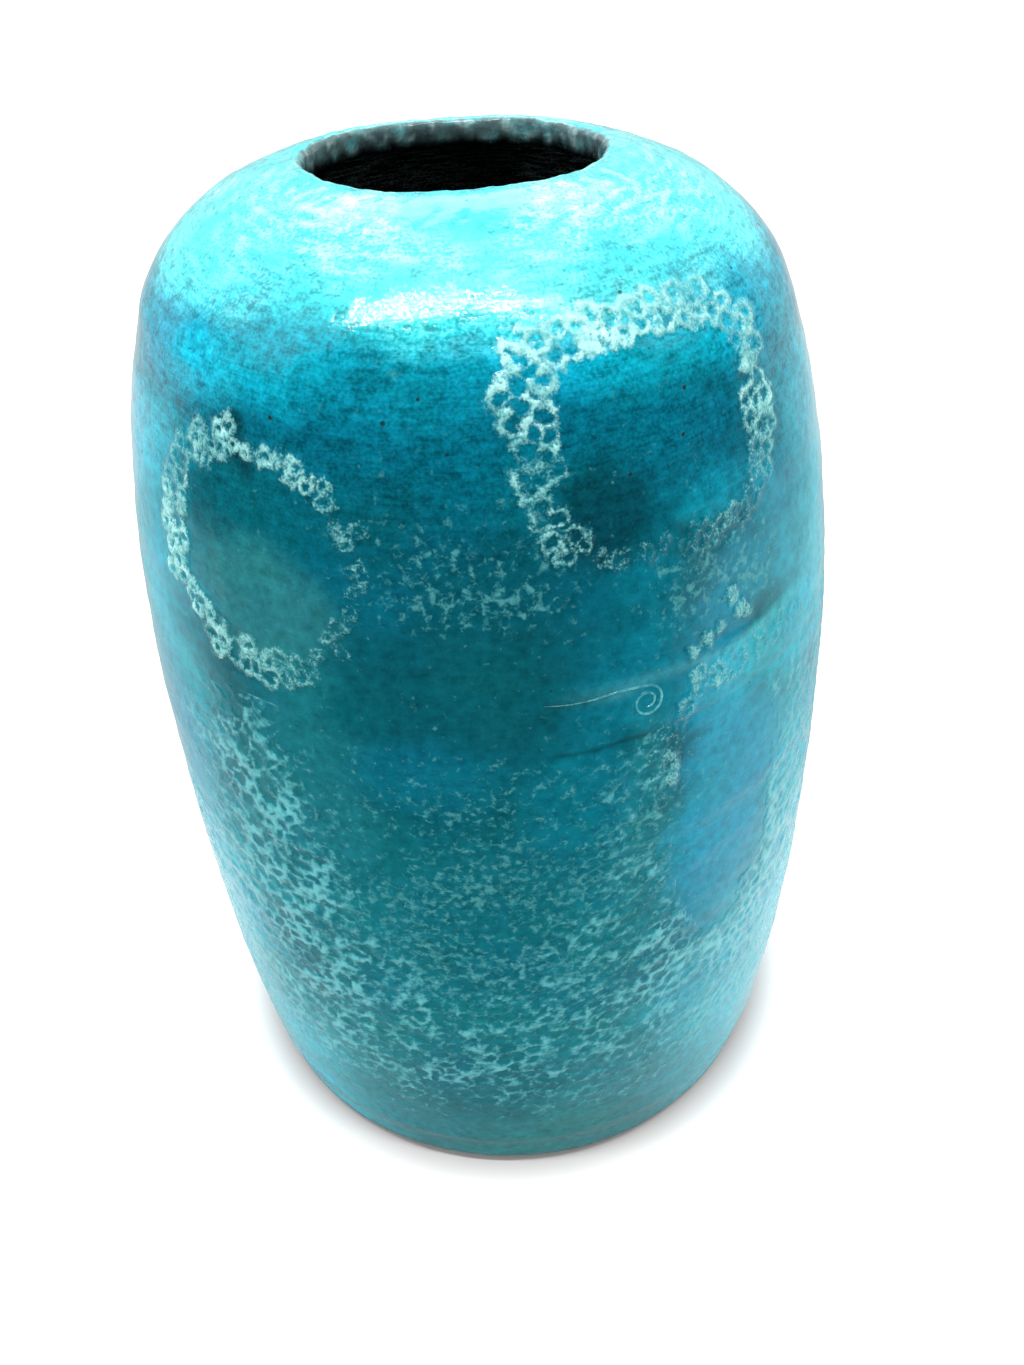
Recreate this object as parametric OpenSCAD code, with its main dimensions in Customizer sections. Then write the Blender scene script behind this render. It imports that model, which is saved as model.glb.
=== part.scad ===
// Ceramic vase, thrown on the wheel in two sections, glazed outside and in.
// The frame stands at the middle of the foot, with Z up and the front towards -Y.
// The front view that the ring places were read from looks along +Y.

/* [Outline] */
// Height from the foot to the top of the lip
vase_h = 200; // [180:1:240]
// Diameter of the foot, over the glaze
foot_d = 118; // [100:1:126]
// Largest diameter, over the glaze
belly_d = 131.4; // [127:0.2:150]
// Height of the largest diameter
belly_z = 91; // [70:1:105]
// How far inside the largest diameter the shoulder turns in, on each side
shoulder_inset = 12.4; // [8:0.2:18]
// Drop from the lip to where the shoulder turns in
shoulder_drop = 19.5; // [15:0.5:26]
// Diameter of the mouth, over the glaze
mouth_d = 48; // [34:1:60]
// Radius of the rounded lip
lip_round = 1.4; // [1:0.1:2]

/* [Clay walls] */
// Thickness of the wall low down, where the clay was left heavy
base_wall_t = 8; // [6:0.5:10]
// Thickness of the wall from the belly to the shoulder
wall_t = 5.5; // [4:0.5:7]
// Thickness of the wall at the lip
lip_wall_t = 3.6; // [3:0.2:4.4]
// Height of the floor inside, above the surface that the vase stands on
floor_z = 10; // [8:0.5:14]
// Radius of the corner between floor and wall inside
floor_round = 14; // [8:1:20]
// Width of the turned foot ring
foot_ring_w = 9; // [6:0.5:14]
// Depth of the hollow turned inside the foot ring
foot_recess = 3.5; // [2:0.5:4.5]
// Bevel round the outer edge of the foot
foot_bevel = 1.6; // [1:0.1:2.4]

/* [Joint of the two sections] */
// Drop from the lip to the joint
joint_drop = 62; // [56:1:70]
// Depth of the groove that the upper section sits in
groove_depth = 3; // [2:0.5:4]
// Thickness of the slip that bonds the sections
slip_t = 0.8; // [0.5:0.1:1.2]
// Radius of the ridge that the joint shows outside
ridge_r = 1.1; // [0.8:0.1:1.6]

/* [Glaze coats] */
// Thickness of the turquoise coat and of the liner
glaze_t = 0.6; // [0.4:0.1:0.8]
// Height of the bare clay below the turquoise coat
bare_foot_h = 3.2; // [2.6:0.2:6]
// Height of the roll of glaze that gathered above the foot
roll_z = 12.5; // [10:0.5:16]
// Radius of that roll
roll_r = 1.2; // [0.9:0.1:1.6]
// Thickness of the pale netted coat
net_t = 0.35; // [0.2:0.05:0.6]
// Height of the lower edge of the netted coat
net_low_z = 22; // [18:1:30]
// Gap between the joint and the top of the netted coat
net_top_gap = 8; // [5:1:14]
// Height of the lower end of the smooth windows in the netted coat
window_low_z = 62; // [50:1:80]
// Angle that a window takes up, as seen from the middle of the vase
window_turn = 48; // [36:1:52]

/* [Foam rings] */
// Thickness of the foamed glaze in the rings
foam_t = 0.8; // [0.5:0.1:1.2]
// Width of the upper rings, across the middle of the band
ring_w = 37.4; // [32:0.2:40]
// Height of the upper rings, across the middle of the band
ring_h = 32.4; // [28:0.2:36]
// Width of the lower rings, across the middle of the band
low_ring_w = 49; // [42:1:52]
// Height of the lower rings, across the middle of the band
low_ring_h = 64; // [56:1:68]
// Width of the band where it is broadest
band_w = 6.6; // [6:0.2:8]
// Diameter of the burst bubbles in the band
bubble_d = 2.2; // [1.6:0.1:2.6]
// Longest step from one blob of foam to the next
blob_step = 4.2; // [3.6:0.1:4.6]
// Drop from the lip to the middle of the right ring
right_ring_drop = 26.2; // [23:0.1:30]
// Gap between the joint's ridge and the left ring above it
left_ring_gap = 0.2; // [0.2:0.1:3]
// Gap between the joint's ridge and the lower rings below it
low_ring_gap = 3.6; // [1:0.2:8]
// Bearing of the right ring, from the front towards +X
right_ring_bearing = 29; // [24:0.5:32]
// Bearing of the left ring
left_ring_bearing = -36; // [-42:0.5:-30]
// Bearing of the lower ring
low_ring_bearing = 45; // [42:0.5:50]

/* [Hidden] */
$fn = 96;
// Overrun of every cut
over = 1;
// Clearance between coats that lie side by side
side_gap = 0.3;

foot_r = foot_d / 2;
belly_r = belly_d / 2;
shoulder_r = belly_r - shoulder_inset;
shoulder_z = vase_h - shoulder_drop;
mouth_r = mouth_d / 2;
joint_z = vase_h - joint_drop;

// Handles of the outline's three curves, as shares of the stretch that each one spans
foot_flare_share = 0.84;
foot_rise_share = 0.30;
belly_below_share = 0.37;
belly_above_share = 0.38;
shoulder_below_share = 0.31;
shoulder_above_share = 0.25;
lip_handle_share = 0.56;
// Angle at which the wall climbs where the shoulder turns in
shoulder_climb = 69;
// Slope of the top of the vase at the lip
lip_slope = 10;
// How square and how uneven the rings are
square_share = 0.045;
uneven_share = 0.03;
// How much smaller the smallest burst bubbles are, and the turn from one to the next
bubble_spread_share = 0.5;
bubble_turn = 137;
// Bearings of the rings that the front view doesn't show, and of the windows that hold no ring
back_right_bearing = 124;
back_left_bearing = -151;
back_lower_bearing = 182;
open_window_bearings = [-8, 118, -98];
// How much narrower the band is on its lower right than on its upper left
upper_narrow_share = 0.3;
lower_narrow_share = 0.15;

// Middle of the lip's rounding, and the point where the outline meets it
lip_middle = [mouth_r + lip_round, vase_h - lip_round];
lip_start = lip_middle + lip_round * [sin(lip_slope), cos(lip_slope)];
shoulder_way = [-cos(shoulder_climb), sin(shoulder_climb)];
lip_way = [-cos(lip_slope), sin(lip_slope)];
shoulder_point = [shoulder_r, shoulder_z];
belly_rise = shoulder_z - belly_z;
shoulder_span = shoulder_r - lip_start[0];

foot_curve = [
    [foot_r, 0],
    [foot_r + foot_flare_share * (belly_r - foot_r), foot_rise_share * belly_z],
    [belly_r, (1 - belly_below_share) * belly_z],
    [belly_r, belly_z]
];
belly_curve = [
    [belly_r, belly_z],
    [belly_r, belly_z + belly_above_share * belly_rise],
    shoulder_point - shoulder_below_share * belly_rise * shoulder_way,
    shoulder_point
];
shoulder_curve = [
    shoulder_point,
    shoulder_point + shoulder_above_share * shoulder_span * shoulder_way,
    lip_start - lip_handle_share * shoulder_span * lip_way,
    lip_start
];
outline_curves = [foot_curve, belly_curve, shoulder_curve];
// Steps along each curve, round the lip and round the corner of the floor
curve_steps = [9, 12, 12];
lip_steps = 8;
corner_steps = 6;

function curve_point(c, t) =
    pow(1 - t, 3) * c[0] + 3 * pow(1 - t, 2) * t * c[1] + 3 * (1 - t) * pow(t, 2) * c[2] + pow(t, 3) * c[3];
function curve_way(c, t) =
    pow(1 - t, 2) * (c[1] - c[0]) + 2 * (1 - t) * t * (c[2] - c[1]) + pow(t, 2) * (c[3] - c[2]);
function outward(way) = [way[1], -way[0]] / norm(way);

// Every station of the outline: a point over the glaze and the direction that faces out there
stations = [
    for (c = [0:len(outline_curves) - 1])
        for (i = [(c == 0 ? 0 : 1):curve_steps[c]])
            let (t = i / curve_steps[c])
                [curve_point(outline_curves[c], t), outward(curve_way(outline_curves[c], t))]
];
wall_table = [[0, base_wall_t], [belly_z, wall_t], [shoulder_z, wall_t], [vase_h, lip_wall_t]];

// A line that runs d outside the finished surface, from the foot to the lip
function skin(d) = [for (s = stations) s[0] + d * s[1]];
// A line on the inside of the wall, d nearer the middle than the clay's inner face
function inner_face(d) =
    [for (s = stations) s[0] - (glaze_t + lookup(s[0][1], wall_table) + d) * s[1]];
// The lip's rounding, d outside the finished surface, from the outline in to the mouth
function lip_arc(d) = [
    for (i = [0:lip_steps])
        let (a = 90 - lip_slope + (90 + lip_slope) * i / lip_steps)
            lip_middle + (lip_round + d) * [cos(a), sin(a)]
];
function radius_at(line, z) = lookup(z, [for (p = line) [p[1], p[0]]]);
function above(line, z) = [for (p = line) if (p[1] > z) p];
function between(line, low, high) = [for (p = line) if (p[1] > low && p[1] < high) p];
function upwards(line, low) = concat([[radius_at(line, low), low]], above(line, low));
function stretch(line, low, high) = concat(
    [[radius_at(line, low), low]], between(line, low, high), [[radius_at(line, high), high]]
);
function backwards(line) = [for (i = [len(line) - 1:-1:0]) line[i]];
// The inside of the vase from the middle of the floor up to the bottom of the mouth
function hollow_line(d) = let (
    face = inner_face(d),
    corner = [radius_at(face, floor_z + floor_round) - floor_round, floor_z + floor_round],
    top = face[len(face) - 1]
) concat(
    [[0, floor_z + d]],
    [
        for (i = [0:corner_steps - 1])
            let (a = -90 + 90 * i / corner_steps)
                corner + (floor_round - d) * [cos(a), sin(a)]
    ],
    upwards(face, floor_z + floor_round),
    [[mouth_r + glaze_t - d, top[1]]]
);
function facing_at(z) = let (
    table = [for (s = stations) [s[0][1], atan2(s[1][1], s[1][0])]]
) lookup(z, table);

clay_line = skin(-glaze_t);
glaze_line = skin(0);
joint_out_r = radius_at(clay_line, joint_z);
joint_in_r = radius_at(inner_face(0), joint_z);
joint_mid_r = (joint_out_r + joint_in_r) / 2;
// Radius that clears the whole outline, whichever of its diameters is the largest
clear_r = foot_r + belly_r;

// Heights of the rings' middles
right_ring_z = vase_h - right_ring_drop;
left_ring_z = joint_z + ridge_r + left_ring_gap + (band_width(270, upper_narrow_share) + ring_h) / 2;
low_ring_z = joint_z - ridge_r - low_ring_gap - (band_w + low_ring_h) / 2;

// Section of all the clay
module clay_section() {
    polygon(concat(
        [[0, foot_recess], [foot_r - foot_ring_w, foot_recess], [foot_r - foot_ring_w, 0]],
        [[foot_r - glaze_t - foot_bevel, 0]],
        upwards(clay_line, foot_bevel),
        lip_arc(-glaze_t),
        backwards(hollow_line(0))
    ));
}

// Everything below the V-shaped joint, raised by lift
module below_joint(lift) {
    polygon([
        [0, -over],
        [clear_r, -over],
        [clear_r, joint_z + lift],
        [joint_out_r, joint_z + lift],
        [joint_mid_r, joint_z - groove_depth + lift],
        [joint_in_r, joint_z + lift],
        [0, joint_z + lift]
    ]);
}

// A coat between two lines, from one height to another
module coat_section(d, low, high) {
    polygon(concat(
        stretch(glaze_line, low, high),
        backwards(stretch(skin(d), low, high))
    ));
}

// Places its children on the finished surface, with their Z facing out and their Y up the wall
module on_wall(bearing, z) {
    rotate([0, 0, bearing])
        translate([0, -radius_at(glaze_line, z), z])
            rotate([90 - facing_at(z), 0, 0])
                children();
}

// A smooth window in the netted coat, round below and open above, as a tool that cuts it
module window_tool(bearing, low_z, r) {
    on_wall(bearing, low_z + r) {
        cylinder(r = r, h = belly_r, center = true);
        translate([-r, 0, -belly_r / 2])
            cube([2 * r, joint_z, belly_r]);
    }
}

// The middle line of a ring's band at an angle: an oval that is a little square and uneven
function band_point(w, h, a, reach) = let (
    swing = 1 - square_share * cos(4 * a) + uneven_share * sin(3 * a + 20)
) [(swing * w / 2 + reach) * cos(a), (swing * h / 2 + reach) * sin(a), 0];

// The band's width at an angle, broadest on the upper left
function band_width(a, narrow_share) = band_w * (1 - narrow_share * (1 - cos(a - 135)) / 2);

// The band of a ring: blobs of foam along the oval, with burst bubbles
module foam_band(w, h, narrow_share) {
    blobs = ceil(PI * (w + h) / 2 / blob_step);
    difference() {
        for (i = [0:blobs - 1]) {
            a = 360 * i / blobs;
            translate(band_point(w, h, a, 0))
                cylinder(d = band_width(a, narrow_share), h = 2 * h, center = true);
        }
        for (i = [0:blobs - 1]) {
            a = 360 * i / blobs;
            burst = 1 - bubble_spread_share * (1 + sin(bubble_turn * i)) / 2;
            reach = bubble_d * burst * sin(2 * bubble_turn * i) / 2;
            translate(band_point(w, h, a, reach))
                cylinder(d = bubble_d * burst, h = 2 * h + over, center = true);
        }
    }
}

// A ring of foamed glaze that lies on the turquoise coat, clear of its roll and of the joint's ridge
module foam_ring(bearing, z, w, h, narrow_share) {
    reach = h / 2 + band_w;
    above_joint = z > joint_z;
    low = max(z - reach, above_joint ? joint_z + ridge_r : roll_z + roll_r);
    high = min(z + reach, above_joint ? lip_start[1] - over : joint_z - ridge_r);
    intersection() {
        rotate_extrude()
            coat_section(foam_t, low, high);
        on_wall(bearing, z)
            foam_band(w, h, narrow_share);
    }
}

module upper_ring(bearing, z) {
    foam_ring(bearing, z, ring_w, ring_h, upper_narrow_share);
}

module lower_ring(bearing) {
    foam_ring(bearing, low_ring_z, low_ring_w, low_ring_h, lower_narrow_share);
}

module lower_section() {
    color("peru")
        rotate_extrude()
            intersection() {
                clay_section();
                below_joint(0);
            }
}

module upper_section() {
    color("burlywood")
        rotate_extrude()
            difference() {
                clay_section();
                below_joint(slip_t);
            }
}

module slip_joint() {
    color("sienna")
        rotate_extrude()
            difference() {
                intersection() {
                    clay_section();
                    below_joint(slip_t);
                }
                below_joint(0);
            }
}

module turquoise_glaze() {
    color("darkturquoise")
        rotate_extrude()
            difference() {
                union() {
                    polygon(concat(
                        upwards(glaze_line, bare_foot_h),
                        backwards(upwards(clay_line, bare_foot_h))
                    ));
                    translate([joint_out_r, joint_z])
                        circle(r = ridge_r);
                    translate([radius_at(clay_line, roll_z), roll_z])
                        circle(r = roll_r);
                }
                polygon(concat([[0, 0]], upwards(clay_line, 0), [[0, vase_h]]));
            }
}

module liner_glaze() {
    color("darkslategray")
        rotate_extrude()
            polygon(concat(
                lip_arc(0),
                backwards(hollow_line(glaze_t)),
                hollow_line(0),
                backwards(lip_arc(-glaze_t))
            ));
}

module net_glaze() {
    ring_window_r = (low_ring_w + band_w) / 2 + side_gap;
    color("mediumaquamarine")
        difference() {
            rotate_extrude()
                coat_section(net_t, net_low_z, joint_z - net_top_gap);
            for (bearing = open_window_bearings)
                window_tool(bearing, window_low_z, belly_r * sin(window_turn / 2));
            for (bearing = [low_ring_bearing, back_lower_bearing])
                window_tool(bearing, low_ring_z - (low_ring_h + band_w) / 2 - side_gap, ring_window_r);
        }
}

module ring_right() {
    color("paleturquoise") upper_ring(right_ring_bearing, right_ring_z);
}

module ring_left() {
    color("paleturquoise") upper_ring(left_ring_bearing, left_ring_z);
}

module ring_lower() {
    color("paleturquoise") lower_ring(low_ring_bearing);
}

module ring_back_right() {
    color("paleturquoise") upper_ring(back_right_bearing, left_ring_z);
}

module ring_back_left() {
    color("paleturquoise") upper_ring(back_left_bearing, right_ring_z);
}

module ring_back_lower() {
    color("paleturquoise") lower_ring(back_lower_bearing);
}

lower_section();
upper_section();
slip_joint();
turquoise_glaze();
liner_glaze();
net_glaze();
ring_right();
ring_left();
ring_lower();
ring_back_right();
ring_back_left();
ring_back_lower();
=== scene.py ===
"""A wheel-thrown stoneware vase with a turquoise coat, foam rings and a netted lower glaze."""

import math

import bmesh
import bpy
import numpy as np
from mathutils import Matrix, Vector, geometry, kdtree


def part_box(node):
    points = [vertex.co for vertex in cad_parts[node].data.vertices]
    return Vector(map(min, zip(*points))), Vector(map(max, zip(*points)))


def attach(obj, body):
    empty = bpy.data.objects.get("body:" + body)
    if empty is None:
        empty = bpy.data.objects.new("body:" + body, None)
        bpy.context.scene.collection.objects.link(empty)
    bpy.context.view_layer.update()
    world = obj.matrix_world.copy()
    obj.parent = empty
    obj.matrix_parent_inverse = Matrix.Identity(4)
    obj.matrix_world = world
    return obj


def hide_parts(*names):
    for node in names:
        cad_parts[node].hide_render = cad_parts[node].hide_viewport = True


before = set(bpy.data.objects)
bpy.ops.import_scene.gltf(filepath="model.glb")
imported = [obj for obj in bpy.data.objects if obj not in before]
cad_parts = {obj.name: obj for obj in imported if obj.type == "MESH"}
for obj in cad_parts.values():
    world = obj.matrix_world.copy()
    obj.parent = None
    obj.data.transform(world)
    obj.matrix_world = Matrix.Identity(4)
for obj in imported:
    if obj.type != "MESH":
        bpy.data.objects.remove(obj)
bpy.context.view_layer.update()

bl_info = {
    "name": "Thrown Vase",
    "version": (1, 0, 0),
    "blender": (4, 5, 0),
    "location": "3D View > Sidebar > Vase",
    "description": "Makes a wheel-thrown vase with foam rings and a netted glaze",
    "category": "Add Mesh",
}

MM = 0.001
BODY = "root"
TURN = 2 * math.pi
# Top of the lip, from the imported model
TOP = float(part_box("liner_glaze")[1].z)
# Radius at which the net's pattern is unrolled, in mm
NET_R = 65.7
# How far the net and the foam spread beyond their thick part: in metres, and in mm
NET_HALO = 0.62 * MM
FOAM_HALO = 1.0
# The net, the curl and the foam are sheets: their thickness, the height of their faces over the
# coat, how far their edges dip into it, and how deep their backs lie
SHEET = 0.3 * MM
FACE_RISE = 0.035 * MM
EDGE_DIP = 0.14 * MM
BACK_DEPTH = 0.35 * MM
# The joint's groove and slip, and the foot's ring and hollow
GROOVE = 3 * MM
SLIP = 0.8 * MM
FOOT_RING = 9 * MM
FOOT_HOLLOW = 3.5 * MM
# Height where the coat starts, over the bare foot
COAT_START = 3.2 * MM
# Slopes that the noise takes at the corners of its lattice
SLOPES = np.array([(x, y, z) for x in (-1, 1) for y in (-1, 1) for z in (-1, 1)] * 2, float)


# Sizes and colours


def length(name, description, value):
    """A size setting, in metres."""
    return bpy.props.FloatProperty(
        name=name, description=description, default=value, unit="LENGTH", subtype="DISTANCE"
    )


def colour(name, description, value):
    """A colour setting, in linear light."""
    return bpy.props.FloatVectorProperty(
        name=name, description=description, default=value, subtype="COLOR", size=3, min=0, max=1
    )


class VaseShape(bpy.types.PropertyGroup):
    """Sizes of the thrown pot."""

    height: length("Height", "Height from the foot to the top of the lip", TOP)
    foot_width: length("Foot", "Diameter of the foot, over the glaze", 118 * MM)
    belly_width: length("Belly", "Largest diameter, over the glaze", 131.4 * MM)
    belly_height: length("Belly height", "Height of the largest diameter", 91 * MM)
    mouth_width: length("Mouth", "Diameter of the mouth, over the glaze", 48 * MM)
    lean: length("Lean", "How far the mouth stands to the left of the foot", 2.06 * MM)
    mouth_tip: bpy.props.FloatProperty(
        name="Mouth tip", description="Slope of the mouth, higher at the front", default=0.105
    )


class VaseGlaze(bpy.types.PropertyGroup):
    """Colours of the glazes and the clay, some with painted light and shade in them."""

    shoulder_sky: colour("Shoulder sky", "Palest blue, high on the shoulder", (0.045, 0.58, 0.62))
    shoulder_blue: colour("Shoulder blue", "Bright blue of the shoulder", (0.002, 0.245, 0.335))
    high_blue: colour("High blue", "Blue between the shoulder and the rings", (0.001, 0.100, 0.145))
    deep_teal: colour("Deep teal", "Darkest glaze, between the rings", (0.001, 0.088, 0.124))
    dark_green: colour("Dark green", "Green-black pool inside the right ring", (0.001, 0.040, 0.056))
    waist_blue: colour("Waist blue", "Blue of the wall below the rings", (0.001, 0.085, 0.112))
    belly_blue: colour("Belly blue", "Blue of the belly", (0.004, 0.135, 0.168))
    low_sea: colour("Low sea", "Paler green-blue of the lower wall", (0.012, 0.170, 0.196))
    foot_sea: colour("Foot sea", "Green-blue of the glaze above the foot", (0.014, 0.160, 0.178))
    # Painted light: the two side colours are paler blue where the side light and the limbs' reflections
    # fall
    side_light_sea: colour("Side sea", "Paler blue on the sides", (0.02, 0.43, 0.54))
    side_light_pale: colour("Side pale", "Palest blue low on the sides", (0.20, 0.56, 0.60))
    window_blue: colour("Window blue", "Smooth blue in the net's window", (0.002, 0.235, 0.345))
    grey_teal: colour("Grey teal", "Greyed glaze, low inside the left ring", (0.02, 0.16, 0.175))
    veil_pale: colour("Veil", "Pale mottling between the rings and above the net", (0.07, 0.30, 0.31))
    lip_grey: colour("Lip grey", "Rough grey glaze just inside the lip", (0.07, 0.125, 0.135))
    net_pale: colour("Net", "Pale strands of the netted coat", (0.13, 0.47, 0.50))
    foam_white: colour("Foam", "Foamed glaze where it is thick", (0.38, 0.74, 0.71))
    foam_mint: colour("Thin foam", "Foamed glaze where it is thin", (0.13, 0.41, 0.41))
    # Fired clay's brown, darkened as painted shade for the contact shade under the foot
    clay_and_foot_shade: colour("Clay", "Fired clay of the bare foot", (0.085, 0.047, 0.032))
    # Painted shade: near black, for the shade deep inside the mouth
    liner_shade: colour("Liner", "Dark glaze inside the vase", (0.0006, 0.0008, 0.001))


class VaseFoam(bpy.types.PropertyGroup):
    """Sizes of the foam rings and of the net."""

    foam_height: length("Foam height", "How far the foam stands up from the glaze", 0.5 * MM)
    net_height: length("Net height", "How far the net's strands stand up", 0.22 * MM)
    net_cell: length("Net cell", "Distance from one cell of the net to the next", 3.3 * MM)


# The wall


def smooth(low, high, value):
    """0 below low, 1 above high, and an even slope between them."""
    part = np.clip((np.asarray(value, float) - low) / (high - low), 0, 1)
    return part * part * (3 - 2 * part)


def swell(value, middle, wide):
    """1 at the middle, falling away to 0 on both sides."""
    return np.exp(-(((value - middle) / wide) ** 2))


def fold(degrees, at, whole=360):
    """Angle from a bearing, the shorter way round. whole is 180 for what the back repeats."""
    return (degrees - at + whole / 2) % whole - whole / 2


def bearing_of(points):
    """Angle of each point round the axis, from the front towards +X."""
    return np.arctan2(points[:, 0], -points[:, 1])


def radius_of(points):
    """Distance of each point from the axis."""
    return np.hypot(points[:, 0], points[:, 1])


def lattice(points, table):
    """Soft noise from -1 to 1 with one swell to each unit of length."""
    whole = np.floor(points).astype(np.int64)
    part = points - whole
    ease = part * part * part * (part * (part * 6 - 15) + 10)
    total = np.zeros(len(points))
    for corner in range(8):
        step = np.array([corner & 1, corner >> 1 & 1, corner >> 2 & 1])
        at = (whole + step) & 255
        spot = table[(table[(table[at[:, 0]] + at[:, 1]) & 255] + at[:, 2]) & 255]
        lean = SLOPES[spot & 15]
        away = part - step
        weight = np.where(step, ease, 1 - ease).prod(axis=1)
        total += weight * (lean * away).sum(axis=1)
    return total


def clouds(points, size, octaves, seed):
    """Soft noise, mostly from -1 to 1. size is the width of a cloud along X, Y and Z."""
    table = np.random.default_rng(seed).permutation(256)
    spread = np.asarray(points, float) / np.asarray(size, float) + 0.37
    total = np.zeros(len(spread))
    for octave in range(octaves):
        total += lattice(spread * 2**octave, table) / 2**octave
    return total


class Wall:
    """The outside of the finished vase, followed by length from the foot up to the lip."""

    # Radius of the lip's rounding and of the floor's corner; heights of the floor and the joint
    glaze = 0.6 * MM
    lip_round = 1.4 * MM
    floor = 10 * MM
    corner = 14 * MM
    joint = 138 * MM
    # Where the shoulder turns, in from the belly and down from the lip, and the slopes there
    shoulder_inset = 12.4 * MM
    shoulder_drop = 19.5 * MM
    shoulder_climb = math.radians(69)
    lip_slope = math.radians(10)
    # Handles of the outline's curves, as shares of the spans that they cross
    foot_flare, foot_rise, belly_below = 0.84, 0.3, 0.63
    belly_above, shoulder_below = 0.38, 0.31
    shoulder_above, lip_handle = 0.25, 0.56
    curve_points = 161
    # The clay's thickness at the foot, belly, shoulder and lip, in mm
    thickness = (8, 5.5, 5.5, 3.6)

    def __init__(self, shape):
        self.shape = shape
        self.high = shape.height
        self.mouth = shape.mouth_width / 2
        foot = shape.foot_width / 2
        belly = shape.belly_width / 2
        middle = shape.belly_height
        self.shoulder = self.high - self.shoulder_drop
        turn = np.array([belly - self.shoulder_inset, self.shoulder])
        up_turn = np.array([-math.cos(self.shoulder_climb), math.sin(self.shoulder_climb)])
        up_lip = np.array([-math.cos(self.lip_slope), math.sin(self.lip_slope)])
        self.lip_middle = np.array([self.mouth + self.lip_round, self.high - self.lip_round])
        lip = self.lip_middle + self.lip_round * np.array([up_lip[1], -up_lip[0]])
        rise = self.shoulder - middle
        span = turn[0] - lip[0]
        foot_curve = [
            (foot, 0),
            (foot + self.foot_flare * (belly - foot), self.foot_rise * middle),
            (belly, self.belly_below * middle),
            (belly, middle),
        ]
        belly_curve = [
            (belly, middle),
            (belly, middle + self.belly_above * rise),
            turn - self.shoulder_below * rise * up_turn,
            turn,
        ]
        shoulder_curve = [
            turn,
            turn + self.shoulder_above * span * up_turn,
            lip - self.lip_handle * span * up_lip,
            lip,
        ]
        line = []
        for curve in (foot_curve, belly_curve, shoulder_curve):
            ends = [Vector((float(p[0]), float(p[1]))) for p in curve]
            steps = geometry.interpolate_bezier(*ends, self.curve_points)
            line += [tuple(p) for p in steps[(1 if line else 0) :]]
        self.r, self.z = np.array(line).T
        way = np.gradient(self.r), np.gradient(self.z)
        size = np.hypot(*way)
        self.out_r, self.out_z = way[1] / size, -way[0] / size
        steps = np.hypot(np.diff(self.r), np.diff(self.z))
        self.s = np.concatenate([[0], np.cumsum(steps)])
        self.length = self.s[-1]

    def length_at(self, z):
        """Length along the wall at a height."""
        return np.interp(z, self.z, self.s)

    def radius_at(self, z):
        """Radius of the outside at a height."""
        return np.interp(z, self.z, self.r)

    def coat(self, lengths, lift):
        """Radius and height at lengths along the wall, lift outside it."""
        r = np.interp(lengths, self.s, self.r) + lift * np.interp(lengths, self.s, self.out_r)
        z = np.interp(lengths, self.s, self.z) + lift * np.interp(lengths, self.s, self.out_z)
        return list(zip(r.tolist(), z.tolist()))

    def place(self, bearing, s, lift=0.0):
        """Points at bearings (radians from the front towards +X), lengths and lifts."""
        out_r = np.interp(s, self.s, self.out_r)
        out_z = np.interp(s, self.s, self.out_z)
        size = np.hypot(out_r, out_z)
        r = np.interp(s, self.s, self.r) + lift * out_r / size
        z = np.interp(s, self.s, self.z) + lift * out_z / size
        return np.stack([r * np.sin(bearing), -r * np.cos(bearing), z], axis=1)

    def inner(self, depth=0.0):
        """The clay's inner face as radius and height, depth nearer the middle."""
        heights = (0, self.shape.belly_height, self.shoulder, self.high)
        deep = self.glaze + np.interp(self.z, heights, self.thickness) * MM + depth
        return self.r - deep * self.out_r, self.z - deep * self.out_z

    def hollow(self, depth, count):
        """The inside from the middle of the floor up to the bottom of the mouth."""
        r, z = self.inner(depth)
        base = self.floor + self.corner
        middle_r = float(np.interp(base, z, r)) - self.corner
        floor_line = [(middle_r * k / 12, self.floor + depth) for k in range(12)]
        turns = np.radians(np.linspace(-90, 0, 9))
        round_r = self.corner - depth
        corner = [(middle_r + round_r * math.cos(a), base + round_r * math.sin(a)) for a in turns]
        heights = np.linspace(base + 1 * MM, z[-1], count)
        face = [(float(np.interp(h, z, r)), float(h)) for h in heights]
        return floor_line + corner + face + [(self.mouth + self.glaze - depth, float(z[-1]))]

    def lip(self, lift, count):
        """The lip's rounding from the outside in to the mouth."""
        turns = np.radians(np.linspace(80, 180, count))
        r, z = self.lip_middle
        reach = self.lip_round + lift
        return [(r + reach * math.cos(a), z + reach * math.sin(a)) for a in turns]

    def relief(self, bearing, s):
        """How far the fired surface stands out or in: finger rings, dents and the joint's band."""
        base = self.place(bearing, s)
        z = base[:, 2]
        rings = clouds(base, (55 * MM, 55 * MM, 3.6 * MM), 2, 1)
        broad = clouds(base, (90 * MM, 90 * MM, 13 * MM), 2, 2)
        dents = clouds(base, 30 * MM, 2, 3)
        peel = clouds(base, 3.2 * MM, 2, 4)
        lift = (0.09 * rings + 0.10 * broad + 0.22 * dents + 0.045 * peel) * MM
        # The joint's band, with a ridge at its top and a groove under it, strongest on the right
        front = 0.15 + 0.85 * swell(np.degrees(bearing), 28, 30)
        wander = 0.5 * MM * clouds(base, (40 * MM, 40 * MM, 400 * MM), 1, 5)
        rise = (z - self.joint - wander) / MM
        band = 0.13 * smooth(-10.6, -9.0, rise) * (1 - smooth(-0.2, 1.0, rise))
        ridge = 0.12 * swell(rise, 0, 1.3)
        groove = -0.09 * swell(rise, -10.8, 0.7)
        lift += (band + ridge + groove) * front * MM
        # The roll above the foot, and the glaze that gathers at the coat's lower edge
        roll = 0.38 * swell(z / MM, 12.6, 2.2)
        gather = 0.35 * swell(z / MM, 3.6, 0.8)
        return lift + (roll + gather) * MM


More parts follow.
